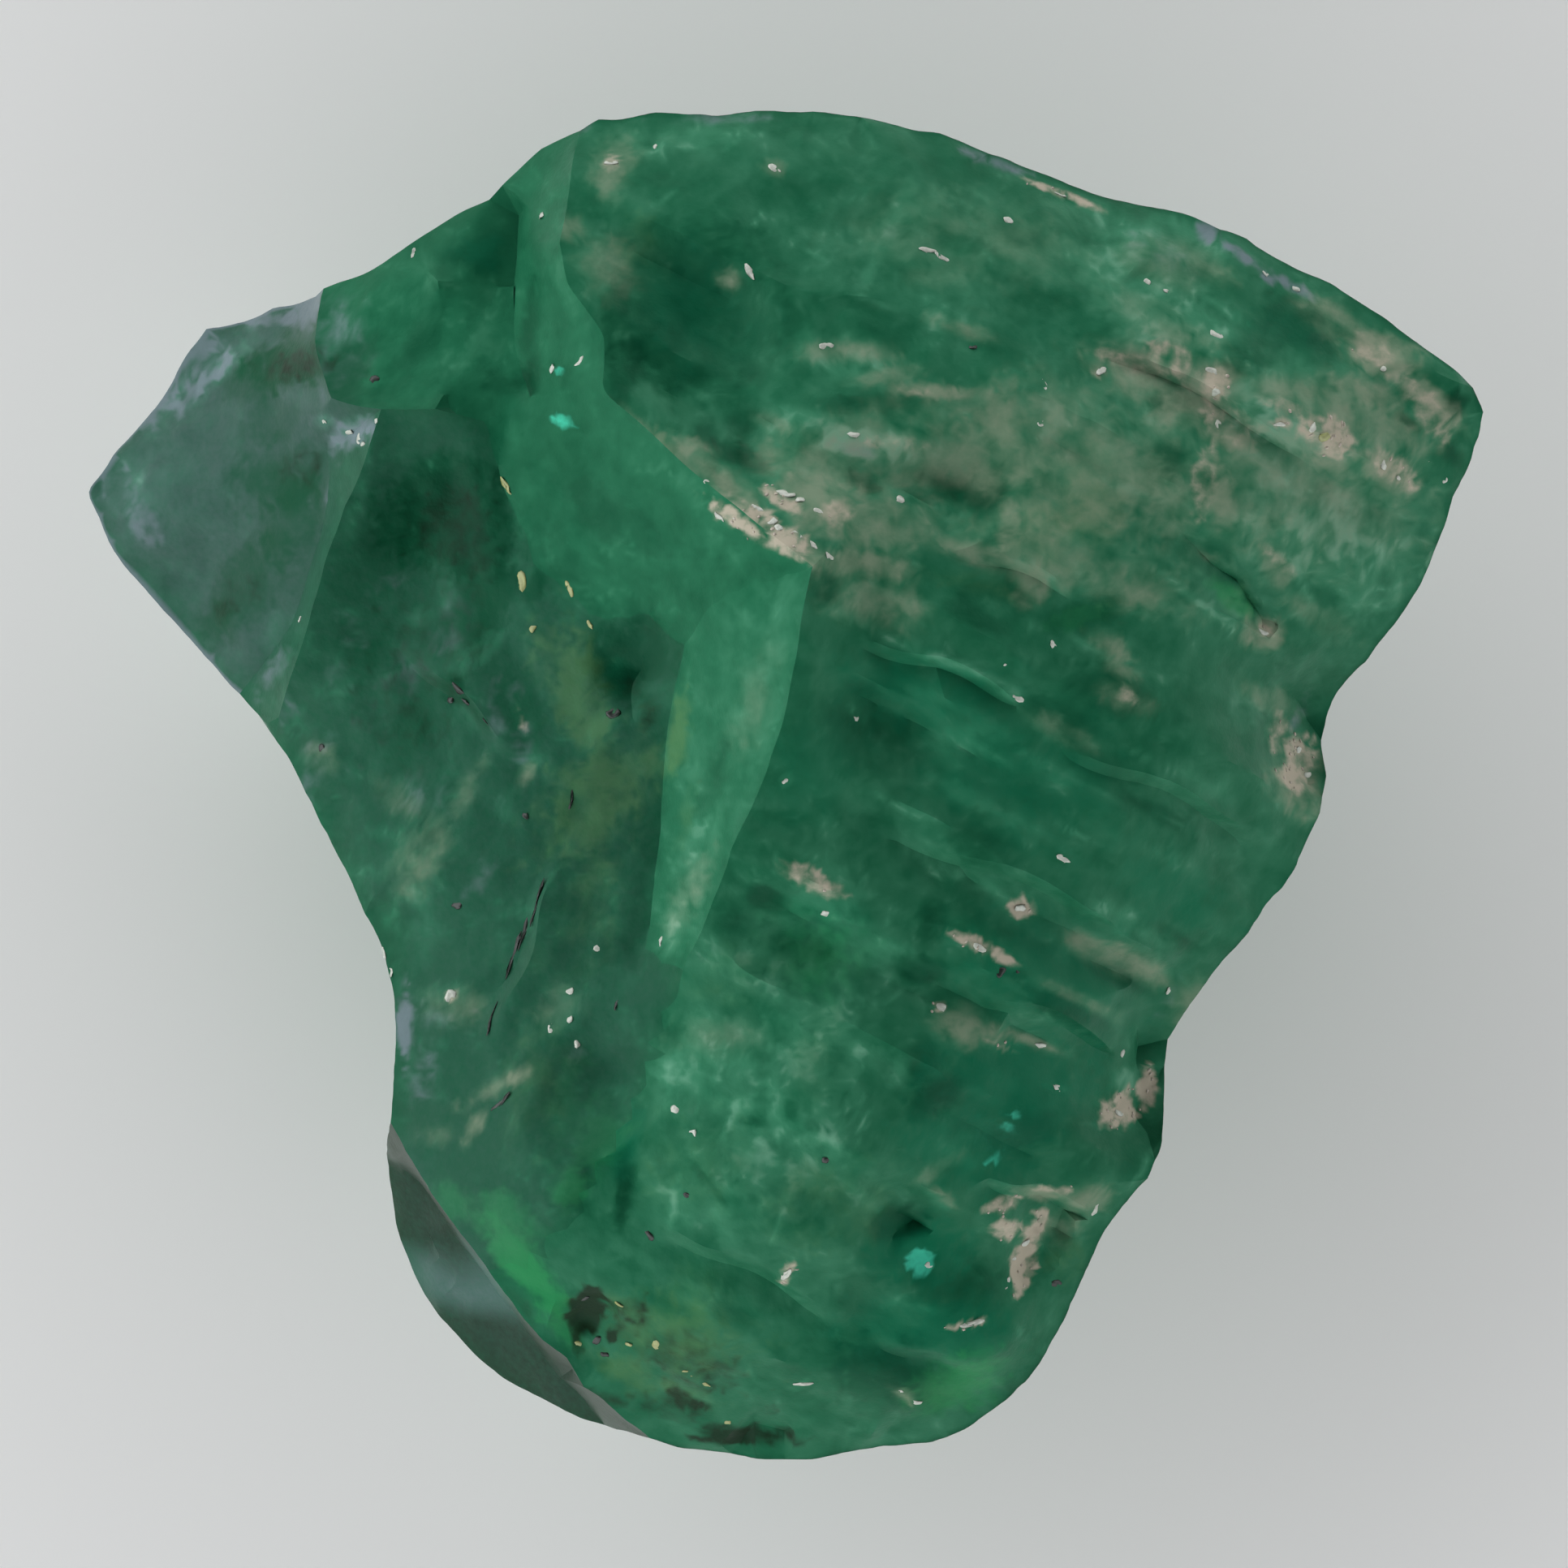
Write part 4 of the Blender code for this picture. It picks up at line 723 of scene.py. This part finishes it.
def read(items, name, count, kind=float):
    """One property of all items as an array, with a row for each item where it has several values."""
    values = np.empty(len(items) * count, dtype=kind)
    items.foreach_get(name, values)
    return values.reshape(-1, count) if count > 1 else values


def corner_table(mesh):
    """The vertex and the facet of every face corner."""
    corner_point = read(mesh.loops, "vertex_index", 1, np.int32)
    facet_of_face = read(mesh.attributes["facet"].data, "value", 1, np.int32)
    totals = read(mesh.polygons, "loop_total", 1, np.int32)
    return corner_point, np.repeat(facet_of_face, totals)


def zone_fields(points, wobble, corner_point, corner_facet):
    """Strength of each kind of zone at every face corner, kept to the facets it names."""
    x, y, edge = points[corner_point, 0], points[corner_point, 1], wobble[corner_point]
    fields = {kind: np.zeros(len(corner_point)) for kind in FADES}
    for (kind, facets), zones in ZONES.items():
        kept = np.isin(corner_facet, [FACET_NAMES.index(name) for name in facets.split()])
        for *place, turn, strength in zones:
            cx, cy, length, breadth = (value / PLAN for value in place)
            reach = 1.5 * max(length, breadth)
            near = np.flatnonzero(kept & (abs(x - cx) < reach) & (abs(y - cy) < reach))
            u, v = turned(x[near] - cx, y[near] - cy, length, breadth, turn)
            grown = strength / PLAN * (1.0 - smoothstep(*FADES[kind], np.hypot(u, v) + edge[near]))
            join = np.add if kind in ADDED else np.maximum
            fields[kind][near] = join(fields[kind][near], grown)
    return fields


def along_growth(points, stretch):
    """Points turned to the growth lines and drawn out along them."""
    c, s = math.cos(math.radians(DIP)), math.sin(math.radians(DIP))
    along, across = points[:, 0] * c + points[:, 1] * s, -points[:, 0] * s + points[:, 1] * c
    return np.column_stack([along / stretch, across, points[:, 2] * 0.5])


def zone_edge(points):
    """How far the rim of a zone strays, in half lengths."""
    return 0.26 * pattern("brim", points) + 0.26 * pattern("fringe", points) + 0.30 * pattern("fray", points)


def carve(mesh, relief):
    """Fine relief: uneven fracture, growth lines on the wide face, pits and the crust of the stains."""
    points = read(mesh.vertices, "co", 3) / MM
    normals = read(mesh.vertices, "normal", 3)
    edge = zone_edge(points)
    corner_point, corner_facet = corner_table(mesh)
    fields = zone_fields(points, edge, corner_point, corner_facet)
    wide = np.zeros(len(points))
    calm = np.ones(len(points))
    stain = np.zeros(len(points))
    np.maximum.at(wide, corner_point, (corner_facet == FACET_NAMES.index("wide")) * 1.0)
    for name in CALM_FACETS:
        calm[corner_point[corner_facet == FACET_NAMES.index(name)]] = 0.45
    np.maximum.at(stain, corner_point, np.maximum(fields["chalk"], 0.4 * fields["film"]))
    growth = lumps(along_growth(points, GROWTH_LENGTH), relief.pitch / MM, 3, GROWTH_SHIFT)
    shape = calm * relief.fracture / MM * pattern("fracture", points)
    shape += wide * relief.striation / MM * growth
    shape += relief.crust / MM * stain * (0.4 + pattern("crust", points))
    facing_up = normals[:, 2] > 0.1
    for *place, turn, depth in PITS:
        cx, cy, length, breadth = (value / PLAN for value in place)
        u, v = turned(points[:, 0] - cx, points[:, 1] - cy, length, breadth, turn)
        rim = np.hypot(u, v) + edge
        shape -= 0.7 * (depth / PLAN) * (1.0 - smoothstep(0.35, 1.15, rim)) * facing_up
    off_floor = smoothstep(0.05, 0.4, points[:, 2])
    moved = points + normals * (shape * off_floor)[:, None]
    moved = np.clip(moved, np.array(CAD_LOW) / MM, np.array(CAD_HIGH) / MM)
    mesh.vertices.foreach_set("co", (moved * MM).ravel())
    mesh.update()


def spread(mesh, corner_point, values, rounds):
    """Corner values run into their neighbours' along the surface, a little further each round."""
    edges = read(mesh.edges, "vertices", 2, np.int32)
    ends = np.concatenate([edges[:, 0], edges[:, 1]])
    others = np.concatenate([edges[:, 1], edges[:, 0]])
    count = len(mesh.vertices)
    degree = np.bincount(ends, minlength=count)
    result = []
    for column in values.T:
        level = np.bincount(corner_point, column, count) / np.bincount(corner_point, minlength=count)
        for _ in range(rounds):
            level = 0.5 * level + 0.5 * np.bincount(ends, level[others], count) / degree
        result.append(level[corner_point])
    return np.column_stack(result)


def tint(mesh):
    """Stores at every face corner how milky and see-through the stone is and what colours lie over it."""
    points = read(mesh.vertices, "co", 3) / MM
    corner_point, corner_facet = corner_table(mesh)
    fields = zone_fields(points, zone_edge(points), corner_point, corner_facet)
    tones = np.array([FACET_TONES[name] for name in FACET_NAMES])[corner_facet]
    tones = OWN_TONE * tones + (1 - OWN_TONE) * spread(mesh, corner_point, tones, TONE_ROUNDS)
    tone_milk, tone_see, tone_olive, tone_lilac, unevenness = tones.T
    back, wide, lobe, tip, basin = (
        corner_facet == FACET_NAMES.index(name) for name in ("back", "wide", "lobe", "tip", "basin"))
    height = points[corner_point, 2]
    rim = (1.0 - read(mesh.vertices, "normal", 3)[:, 2])[corner_point]
    broad, veils, mottle, puffs, streaks, threads, wisps = (
        pattern(name, points)[corner_point]
        for name in ("broad", "veils", "mottle", "puffs", "streaks", "threads", "wisps"))
    threads = smoothstep(0.93, 1.0, 1.0 - abs(threads))
    wisps = smoothstep(0.90, 1.0, 1.0 - abs(wisps)) * smoothstep(-0.1, 0.4, veils + 0.5 * mottle)

    # Milk: facet tone, clouds and unevenness, taken away towards the steep rim of the wide face as painted
    # shade.
    uneven = 0.10 * veils + 0.14 * mottle + 0.09 * puffs + 0.18 * wisps
    uneven += np.where(wide | back, 0.12 * streaks + 0.10 * threads, 0.04 * threads)
    haze = fields["haze"] * np.clip(0.85 + 0.6 * mottle, 0.0, 1.4)
    milk = tone_milk + haze - fields["dark"] + unevenness * uneven
    milk += np.where(back, 0.35 * broad, 0.06 * broad)
    milk -= 0.25 * smoothstep(0.55, 0.95, rim) * wide

    # Mineral film and calcite, in patches on the back.
    patch = smoothstep(0.30, 0.60, -broad + 0.5 * veils) * back
    film = (fields["film"] + 0.6 * patch) * np.clip(0.88 + 0.7 * mottle + 0.35 * streaks, 0.0, 1.4)
    chalk = fields["chalk"] * np.clip(0.85 + 0.8 * puffs + 0.5 * mottle, 0.0, 1.2)
    chalk += 0.5 * patch * smoothstep(0.1, 0.5, mottle)

    # Clear windows let light through; the tip and the lobe are thin, so there darkness is only colour.
    window = np.where(tip | lobe, 0.05, 0.6) * fields["dark"]
    see = tone_see + window - 0.5 * haze - 0.7 * film - chalk
    see = np.where(see > 0.08, see, 0.0)

    # Painted shade on the lobe: it is darkened all over, less across a painted bluish highlight band and
    # towards its low edge, which turns bluish.
    band = 1.0 - smoothstep(0.0, 0.8, abs(points[corner_point, 1] - BAND + 0.4 * broad))
    sheen = lobe * np.maximum(band, 0.3 * (1.0 - smoothstep(2.6, 4.8, height)))
    lobe_painted_shade = lobe * (0.74 - 0.40 * sheen)

    # Lilac bloom of the thin edges, less where the stone is clear; on the tip's steep rim it is a painted
    # bluish highlight, and the lobe's band adds a painted highlight.
    lilac = np.maximum(tone_lilac, fields["lilac"] * np.clip(0.8 + 0.7 * mottle + 0.5 * puffs, 0.0, 1.3))
    lilac = np.maximum(lilac, tip * smoothstep(0.35, 0.8, rim))
    lilac = lilac * (1.0 - np.clip(1.1 * fields["dark"], 0.0, 0.8)) + 0.12 * sheen

    # Iron brown and painted shade: iron stains, a dull tone on the tip and basin, patches on the back, and
    # painted shade on the lobe and along the wide face's steep rim.
    rust_and_shade = np.maximum(fields["rust_and_shade"] * np.clip(0.9 + 0.5 * puffs, 0.0, 1.2), 0.30 * (tip | basin))
    rust_and_shade += lobe_painted_shade + 0.6 * back * smoothstep(0.42, 0.62, -veils)
    rust_and_shade += 0.45 * wide * smoothstep(0.50, 0.95, rim)

    olive = np.maximum(tone_olive, fields["olive"]) * (0.9 + 0.5 * mottle)
    olive += 0.4 * back * smoothstep(0.2, 0.6, veils)
    values = {
        "milk": milk, "see": see, "sea": fields["sea"], "olive": olive, "fresh": fields["fresh"],
        "lilac": lilac, "film": film, "teal": fields["teal"], "rust_and_shade": rust_and_shade, "chalk": chalk,
    }
    for name, amount in values.items():
        layer = mesh.attributes.new(name, "FLOAT", "CORNER")
        layer.data.foreach_set("value", np.clip(amount, 0, 1.2).astype(np.float32))


def emerald_material(colours):
    """Green beryl with a natural fracture surface.

    Beryl breaks with a glassy, slightly uneven surface, so the eye sees soft gloss over the colour of
    what lies inside: clear windows look dark, clouds of fine inclusions look milky.
    """
    material = bpy.data.materials.new("emerald_beryl_natural_fracture")
    material.use_nodes = True
    tree = material.node_tree
    tree.nodes.clear()
    amounts = {}
    for name in ("milk", "see", *LAYERS):
        amounts[name] = put(tree, "ShaderNodeAttribute", attribute_name=name).outputs["Fac"]
    place = put(tree, "ShaderNodeTexCoord").outputs["Object"]
    mm = put(tree, "ShaderNodeMapping", {"Vector": place, "Scale": [1 / MM] * 3}).outputs["Vector"]
    grain = put(tree, "ShaderNodeTexNoise", {
        "Vector": mm, "Scale": 1 / GRAIN, "Detail": 2.0, "Roughness": 0.65,
    }).outputs["Fac"]
    grit = put(tree, "ShaderNodeMath", {0: grain, 1: 0.5}, operation="SUBTRACT").outputs[0]
    milk = put(tree, "ShaderNodeMath", {
        0: grit, 1: 0.12, 2: amounts["milk"],
    }, operation="MULTIPLY_ADD").outputs[0]
    ramp = put(tree, "ShaderNodeValToRGB", {"Fac": milk})
    first, last = ramp.color_ramp.elements
    first.color = (*colours.deep, 1.0)
    last.color = (*colours.veil, 1.0)
    for position, sheet in ((0.33, colours.body), (0.66, colours.milk)):
        ramp.color_ramp.elements.new(position).color = (*sheet, 1.0)
    colour = ramp.outputs["Color"]
    for name, (low, high, share, rough) in LAYERS.items():
        broken = put(tree, "ShaderNodeMath", {0: grit, 1: rough}, operation="MULTIPLY").outputs[0]
        field = put(tree, "ShaderNodeMath", {
            0: amounts[name], 1: broken, 2: amounts[name],
        }, operation="MULTIPLY_ADD").outputs[0]
        mask = put(tree, "ShaderNodeMapRange", {
            "Value": field, "From Min": low, "From Max": high, "To Max": share,
        }, interpolation_type="SMOOTHSTEP").outputs["Result"]
        sheet = (*getattr(colours, name), 1.0)
        colour = put(tree, "ShaderNodeMix", {0: mask, 6: colour, 7: sheet}, data_type="RGBA").outputs[2]
    dull = put(tree, "ShaderNodeMapRange", {
        "Value": amounts["film"], "From Min": 0.1, "From Max": 0.8, "To Min": 0.36, "To Max": 0.60,
    }, interpolation_type="SMOOTHSTEP").outputs["Result"]
    bump = put(tree, "ShaderNodeBump", {"Height": grain, "Strength": 0.3, "Distance": 0.02 * MM})
    shader = put(tree, "ShaderNodeBsdfPrincipled", {
        "Base Color": colour, "Roughness": dull, "IOR": IOR, "Transmission Weight": amounts["see"],
        "Normal": bump.outputs["Normal"], "Specular IOR Level": 0.15, "Specular Tint": (*colours.gloss, 1.0),
    })
    absorb = put(tree, "ShaderNodeVolumeAbsorption", {
        "Color": (*colours.absorbed, 1.0), "Density": colours.density,
    })
    put(tree, "ShaderNodeOutputMaterial", {
        "Surface": shader.outputs["BSDF"], "Volume": absorb.outputs["Volume"],
    })
    material.diffuse_color = (*colours.body, 1.0)
    return material


class EMERALD_OT_stone(bpy.types.Operator):
    """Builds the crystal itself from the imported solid"""
    bl_idname = "emerald.stone"
    bl_label = "Crystal"

    def execute(self, context):
        scene = context.scene
        stone = subdivided_solid(scene.emerald_relief)
        carve(stone.data, scene.emerald_relief)
        tint(stone.data)
        stone.data.materials.clear()
        stone.data.materials.append(emerald_material(scene.emerald_colours))
        sharpen(stone.data, scene.emerald_relief.sharp)
        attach(stone, BODY)
        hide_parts(NODE)
        return {"FINISHED"}


def sharpen(mesh, angle):
    """Smooth shading that breaks at the edges that turn more than the angle."""
    bm = bmesh.new()
    bm.from_mesh(mesh)
    for face in bm.faces:
        face.smooth = True
    for edge in bm.edges:
        edge.smooth = edge.calc_face_angle(0.0) < angle
    bm.to_mesh(mesh)
    bm.free()


def node_group(name, sizes):
    """An empty geometry tree with a geometry, the named sizes and a material as inputs."""
    tree = bpy.data.node_groups.new(name, "GeometryNodeTree")
    for socket, kind in (("Geometry", "Geometry"), *sizes, ("Material", "Material")):
        tree.interface.new_socket(socket, in_out="INPUT", socket_type="NodeSocket" + kind)
    tree.interface.new_socket("Geometry", in_out="OUTPUT", socket_type="NodeSocketGeometry")
    return tree, put(tree, "NodeGroupInput").outputs


def finish_group(tree, geometry, material):
    """Ends a tree: real mesh, smooth, with its material."""
    real = put(tree, "GeometryNodeRealizeInstances", {"Geometry": geometry})
    smooth = put(tree, "GeometryNodeSetShadeSmooth", {"Geometry": real.outputs[0]})
    dressed = put(tree, "GeometryNodeSetMaterial", {"Geometry": smooth.outputs[0], "Material": material})
    put(tree, "NodeGroupOutput", {"Geometry": dressed.outputs[0]})


def flake_tree():
    """A flake on every point, turned and sized by the point's own attributes, with a broken outline."""
    tree, given = node_group("emerald_flakes", ())
    ball = put(tree, "GeometryNodeMeshIcoSphere", {"Radius": 1.0, "Subdivisions": 2}).outputs["Mesh"]
    own = {}
    for name in ("facing", "size"):
        feeds = {"Name": name}
        own[name] = put(tree, "GeometryNodeInputNamedAttribute", feeds, data_type="FLOAT_VECTOR").outputs[0]
    turn = put(tree, "FunctionNodeEulerToRotation", {"Euler": own["facing"]}).outputs[0]
    copies = put(tree, "GeometryNodeInstanceOnPoints", {
        "Points": given["Geometry"], "Instance": ball, "Rotation": turn, "Scale": own["size"],
    }).outputs[0]
    real = put(tree, "GeometryNodeRealizeInstances", {"Geometry": copies}).outputs[0]
    lumpy = put(tree, "ShaderNodeTexNoise", {"Scale": 1 / (GRAIN * MM), "Detail": 1.0}).outputs["Color"]
    pushed = put(tree, "ShaderNodeVectorMath", {0: lumpy, 1: [0.5] * 3}, operation="SUBTRACT").outputs[0]
    feeds = {0: pushed, "Scale": FLAKE_ROUGH * MM}
    offset = put(tree, "ShaderNodeVectorMath", feeds, operation="SCALE").outputs[0]
    broken = put(tree, "GeometryNodeSetPosition", {"Geometry": real, "Offset": offset}).outputs[0]
    finish_group(tree, broken, given["Material"])
    return tree


def crumb_tree():
    """Grains strewn over the surface where it is stained most."""
    sizes = (("Grain", "Float"), ("Density", "Float"), ("Seed", "Int"))
    tree, given = node_group("emerald_crumbs", sizes)
    stained = put(tree, "GeometryNodeInputNamedAttribute", {"Name": "chalk"}, data_type="FLOAT").outputs[0]
    amount = put(tree, "ShaderNodeMapRange", {
        "Value": stained, "From Min": GRAINS_FROM, "From Max": 1.0, "To Min": 0.0, "To Max": given["Density"],
    }).outputs["Result"]
    strewn = put(tree, "GeometryNodeDistributePointsOnFaces", {
        "Mesh": given["Geometry"], "Density": amount, "Seed": given["Seed"],
    }, distribute_method="RANDOM")
    ball = put(tree, "GeometryNodeMeshIcoSphere", {"Radius": 1.0, "Subdivisions": 1}).outputs["Mesh"]
    uneven = put(tree, "FunctionNodeRandomValue", {
        0: (0.5, 0.4, 0.3), 1: (1.7, 1.3, 0.7), "Seed": given["Seed"],
    }, data_type="FLOAT_VECTOR").outputs[0]
    feeds = {0: uneven, "Scale": given["Grain"]}
    size = put(tree, "ShaderNodeVectorMath", feeds, operation="SCALE").outputs[0]
    copies = put(tree, "GeometryNodeInstanceOnPoints", {
        "Points": strewn.outputs["Points"], "Instance": ball, "Rotation": strewn.outputs["Rotation"],
        "Scale": size,
    }).outputs[0]
    finish_group(tree, copies, given["Material"])
    return tree


def grown(name, mesh, tree, values):
    """Runs a geometry tree over a mesh and keeps the result as a plain mesh."""
    piece = bpy.data.objects.new(name, mesh)
    bpy.context.scene.collection.objects.link(piece)
    modifier = piece.modifiers.new("Nodes", "NODES")
    modifier.node_group = tree
    for item in tree.interface.items_tree:
        if item.in_out == "INPUT" and item.name in values:
            modifier[item.identifier] = values[item.name]
    result = bpy.data.meshes.new_from_object(piece.evaluated_get(bpy.context.evaluated_depsgraph_get()))
    piece.modifiers.clear()
    piece.data = result
    result.name = name
    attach(piece, BODY)
    return piece


def mark_points(name, marks, stone, thin):
    """A point on the surface for each mark, with its facing and half sizes."""
    hull = BVHTree.FromPolygons([v.co for v in stone.vertices], [p.vertices for p in stone.polygons])
    places, facings, sizes = [], [], []
    for *place, turn in marks:
        cx, cy, length, breadth = (value / PLAN for value in place)
        spot, normal = hull.ray_cast(Vector((cx * MM, cy * MM, 1.0)), Vector((0, 0, -1)))[:2]
        if spot is None:
            raise RuntimeError(f"{name}: the mark at {cx}, {cy} mm lies beside the stone")
        along = Vector((math.cos(math.radians(turn)), math.sin(math.radians(turn)), 0))
        along = (along - normal * along.dot(normal)).normalized()
        places.append(spot)
        facings.append(Matrix((along, normal.cross(along), normal)).transposed().to_euler())
        sizes.append((length * MM, breadth * MM, thin * breadth * MM))
    mesh = bpy.data.meshes.new(name)
    mesh.from_pydata(places, [], [])
    for label, values in (("facing", facings), ("size", sizes)):
        mesh.attributes.new(label, "FLOAT_VECTOR", "POINT").data.foreach_set("vector", np.ravel(values))
    return mesh


class EMERALD_OT_marks(bpy.types.Operator):
    """Sets the pale and yellow flakes that paint glints, and the dark specks, on the stone"""
    bl_idname = "emerald.marks"
    bl_label = "Flakes and specks"

    def execute(self, context):
        grains = context.scene.emerald_grains
        stone = bpy.data.objects["emerald_stone"].data
        tree = flake_tree()
        # The pale and yellow flakes are painted glints; the dark specks are the crystal's own.
        skins = {
            "white": flake_material("pale_flake_painted_glint", grains.white, 0.30),
            "yellow": flake_material("yellow_flake_painted_glint", grains.yellow, 0.40),
            "dark": flake_material("biotite_mica_speck", grains.dark, 0.45),
        }
        for kind, marks in MARKS.items():
            points = mark_points(kind + "_flakes", marks, stone, grains.thin)
            grown(kind + "_flakes", points, tree, {"Material": skins[kind]})
        return {"FINISHED"}


class EMERALD_OT_crumbs(bpy.types.Operator):
    """Strews pale mineral grains over the stained places"""
    bl_idname = "emerald.crumbs"
    bl_label = "Mineral grains"

    def execute(self, context):
        grains = context.scene.emerald_grains
        grown("calcite_grains", bpy.data.objects["emerald_stone"].data.copy(), crumb_tree(), {
            "Grain": grains.grain, "Density": grains.density / MM ** 2, "Seed": grains.seed,
            "Material": flake_material("calcite_grains_weathered", grains.crumb, 0.6),
        })
        return {"FINISHED"}


def flake_material(name, colour, rough):
    """A mineral flake with even faces and cloudy patches inside; the pale and yellow flakes are painted
    highlights, standing for glints, and the dark ones are specks in the crystal.
    """
    material = bpy.data.materials.new(name)
    material.use_nodes = True
    tree = material.node_tree
    tree.nodes.clear()
    place = put(tree, "ShaderNodeTexCoord").outputs["Object"]
    mm = put(tree, "ShaderNodeMapping", {"Vector": place, "Scale": [1 / MM] * 3}).outputs["Vector"]
    cloudy = put(tree, "ShaderNodeTexNoise", {
        "Vector": mm, "Scale": 1 / FLAKE_CLOUD, "Detail": 2.0,
    }).outputs["Fac"]
    shade = put(tree, "ShaderNodeMapRange", {
        "Value": cloudy, "From Min": 0.3, "From Max": 0.7, "To Min": 0.72, "To Max": 1.0,
    }).outputs["Result"]
    tone = put(tree, "ShaderNodeVectorMath", {0: colour, "Scale": shade}, operation="SCALE").outputs[0]
    shader = put(tree, "ShaderNodeBsdfPrincipled", {"Base Color": tone, "Roughness": rough, "IOR": IOR})
    put(tree, "ShaderNodeOutputMaterial", {"Surface": shader.outputs["BSDF"]})
    material.diffuse_color = (*colour, 1.0)
    return material


def matt(name, colour, rough):
    """A plain matt surface: unpolished, so the eye sees only its colour."""
    material = bpy.data.materials.new(name)
    material.use_nodes = True
    shader = material.node_tree.nodes["Principled BSDF"]
    shader.inputs["Base Color"].default_value = (*colour, 1.0)
    shader.inputs["Roughness"].default_value = rough
    return material


class EMERALD_OT_stage(bpy.types.Operator):
    """Lays the pale floor, sets the soft world light and sets the camera above the stone"""
    bl_idname = "emerald.stage"
    bl_label = "Studio stage"

    def execute(self, context):
        stage = context.scene.emerald_stage
        half = stage.floor / 2
        mesh = bpy.data.meshes.new("pale_floor")
        corners = [(-half, -half, 0), (half, -half, 0), (half, half, 0), (-half, half, 0)]
        mesh.from_pydata(corners, [], [(0, 1, 2, 3)])
        mesh.materials.append(matt("pale_matt_card_floor", stage.floor_colour, 0.9))
        floor = bpy.data.objects.new("pale_floor", mesh)
        context.scene.collection.objects.link(floor)
        context.scene.world = studio_light(stage)

        data = bpy.data.cameras.new("camera")
        data.lens = stage.lens
        data.sensor_width = SENSOR
        data.clip_start = 0.001
        data.clip_end = 20.0
        camera = bpy.data.objects.new("camera", data)
        aim_x, aim_y, widest = (value * MM for value in AIM)
        camera.location = (aim_x, aim_y, widest + stage.view * stage.lens / SENSOR)
        context.scene.collection.objects.link(camera)
        context.scene.camera = camera
        context.scene.view_settings.view_transform = "Standard"
        return {"FINISHED"}


def studio_light(stage):
    """A soft ring of light above the stone, stronger from the left; the camera sees an even grey."""
    world = bpy.data.worlds.new("soft_studio")
    world.use_nodes = True
    tree = world.node_tree
    tree.nodes.clear()
    seen = put(tree, "ShaderNodeLightPath").outputs["Is Camera Ray"]
    toward = put(tree, "ShaderNodeTexCoord").outputs["Generated"]
    axes = put(tree, "ShaderNodeSeparateXYZ", {0: toward}).outputs
    ring = put(tree, "ShaderNodeMapRange", {
        "Value": axes["Z"], "From Min": 0.48, "From Max": 0.74, "To Min": 1.0, "To Max": 0.02,
    }, interpolation_type="SMOOTHSTEP").outputs["Result"]
    side = put(tree, "ShaderNodeMapRange", {
        "Value": axes["X"], "From Min": -1.0, "From Max": 1.0, "To Min": LEFT_LIGHT * stage.light,
        "To Max": RIGHT_LIGHT * stage.light,
    }).outputs["Result"]
    soft = put(tree, "ShaderNodeMath", {0: ring, 1: side}, operation="MULTIPLY").outputs[0]
    level = put(tree, "ShaderNodeMix", {0: seen, 2: soft, 3: BACKDROP}).outputs[0]
    sky = put(tree, "ShaderNodeBackground", {"Color": (0.97, 0.98, 1.0, 1.0), "Strength": level})
    put(tree, "ShaderNodeOutputWorld", {"Surface": sky.outputs["Background"]})
    return world


class EMERALD_PT_sidebar(bpy.types.Panel):
    """Lists the steps that build the scene"""
    bl_idname = "EMERALD_PT_sidebar"
    bl_label = "Rough emerald"
    bl_space_type = "VIEW_3D"
    bl_region_type = "UI"
    bl_category = "Emerald"

    def draw(self, context):
        for step in STEPS:
            self.layout.operator(step.bl_idname)
        for group_name in GROUPS:
            group = getattr(context.scene, group_name)
            box = self.layout.box()
            for name in group.bl_rna.properties.keys():
                if name not in ("rna_type", "name"):
                    box.prop(group, name)


STEPS = (EMERALD_OT_stage, EMERALD_OT_stone, EMERALD_OT_marks, EMERALD_OT_crumbs)
GROUPS = {
    "emerald_relief": EmeraldRelief, "emerald_colours": EmeraldColours,
    "emerald_grains": EmeraldGrains, "emerald_stage": EmeraldStage,
}


def register():
    """Adds the sidebar panel, its operators and their settings."""
    for item in (*GROUPS.values(), *STEPS, EMERALD_PT_sidebar):
        bpy.utils.register_class(item)
    for name, group in GROUPS.items():
        setattr(bpy.types.Scene, name, PointerProperty(type=group))


def unregister():
    """Takes away what register added."""
    for name in GROUPS:
        delattr(bpy.types.Scene, name)
    for item in (EMERALD_PT_sidebar, *reversed(STEPS), *reversed(GROUPS.values())):
        bpy.utils.unregister_class(item)


def main():
    """Builds the scene step by step."""
    register()
    for item in STEPS:
        family, name = item.bl_idname.split(".")
        getattr(getattr(bpy.ops, family), name)()


if __name__ == "__main__":
    main()
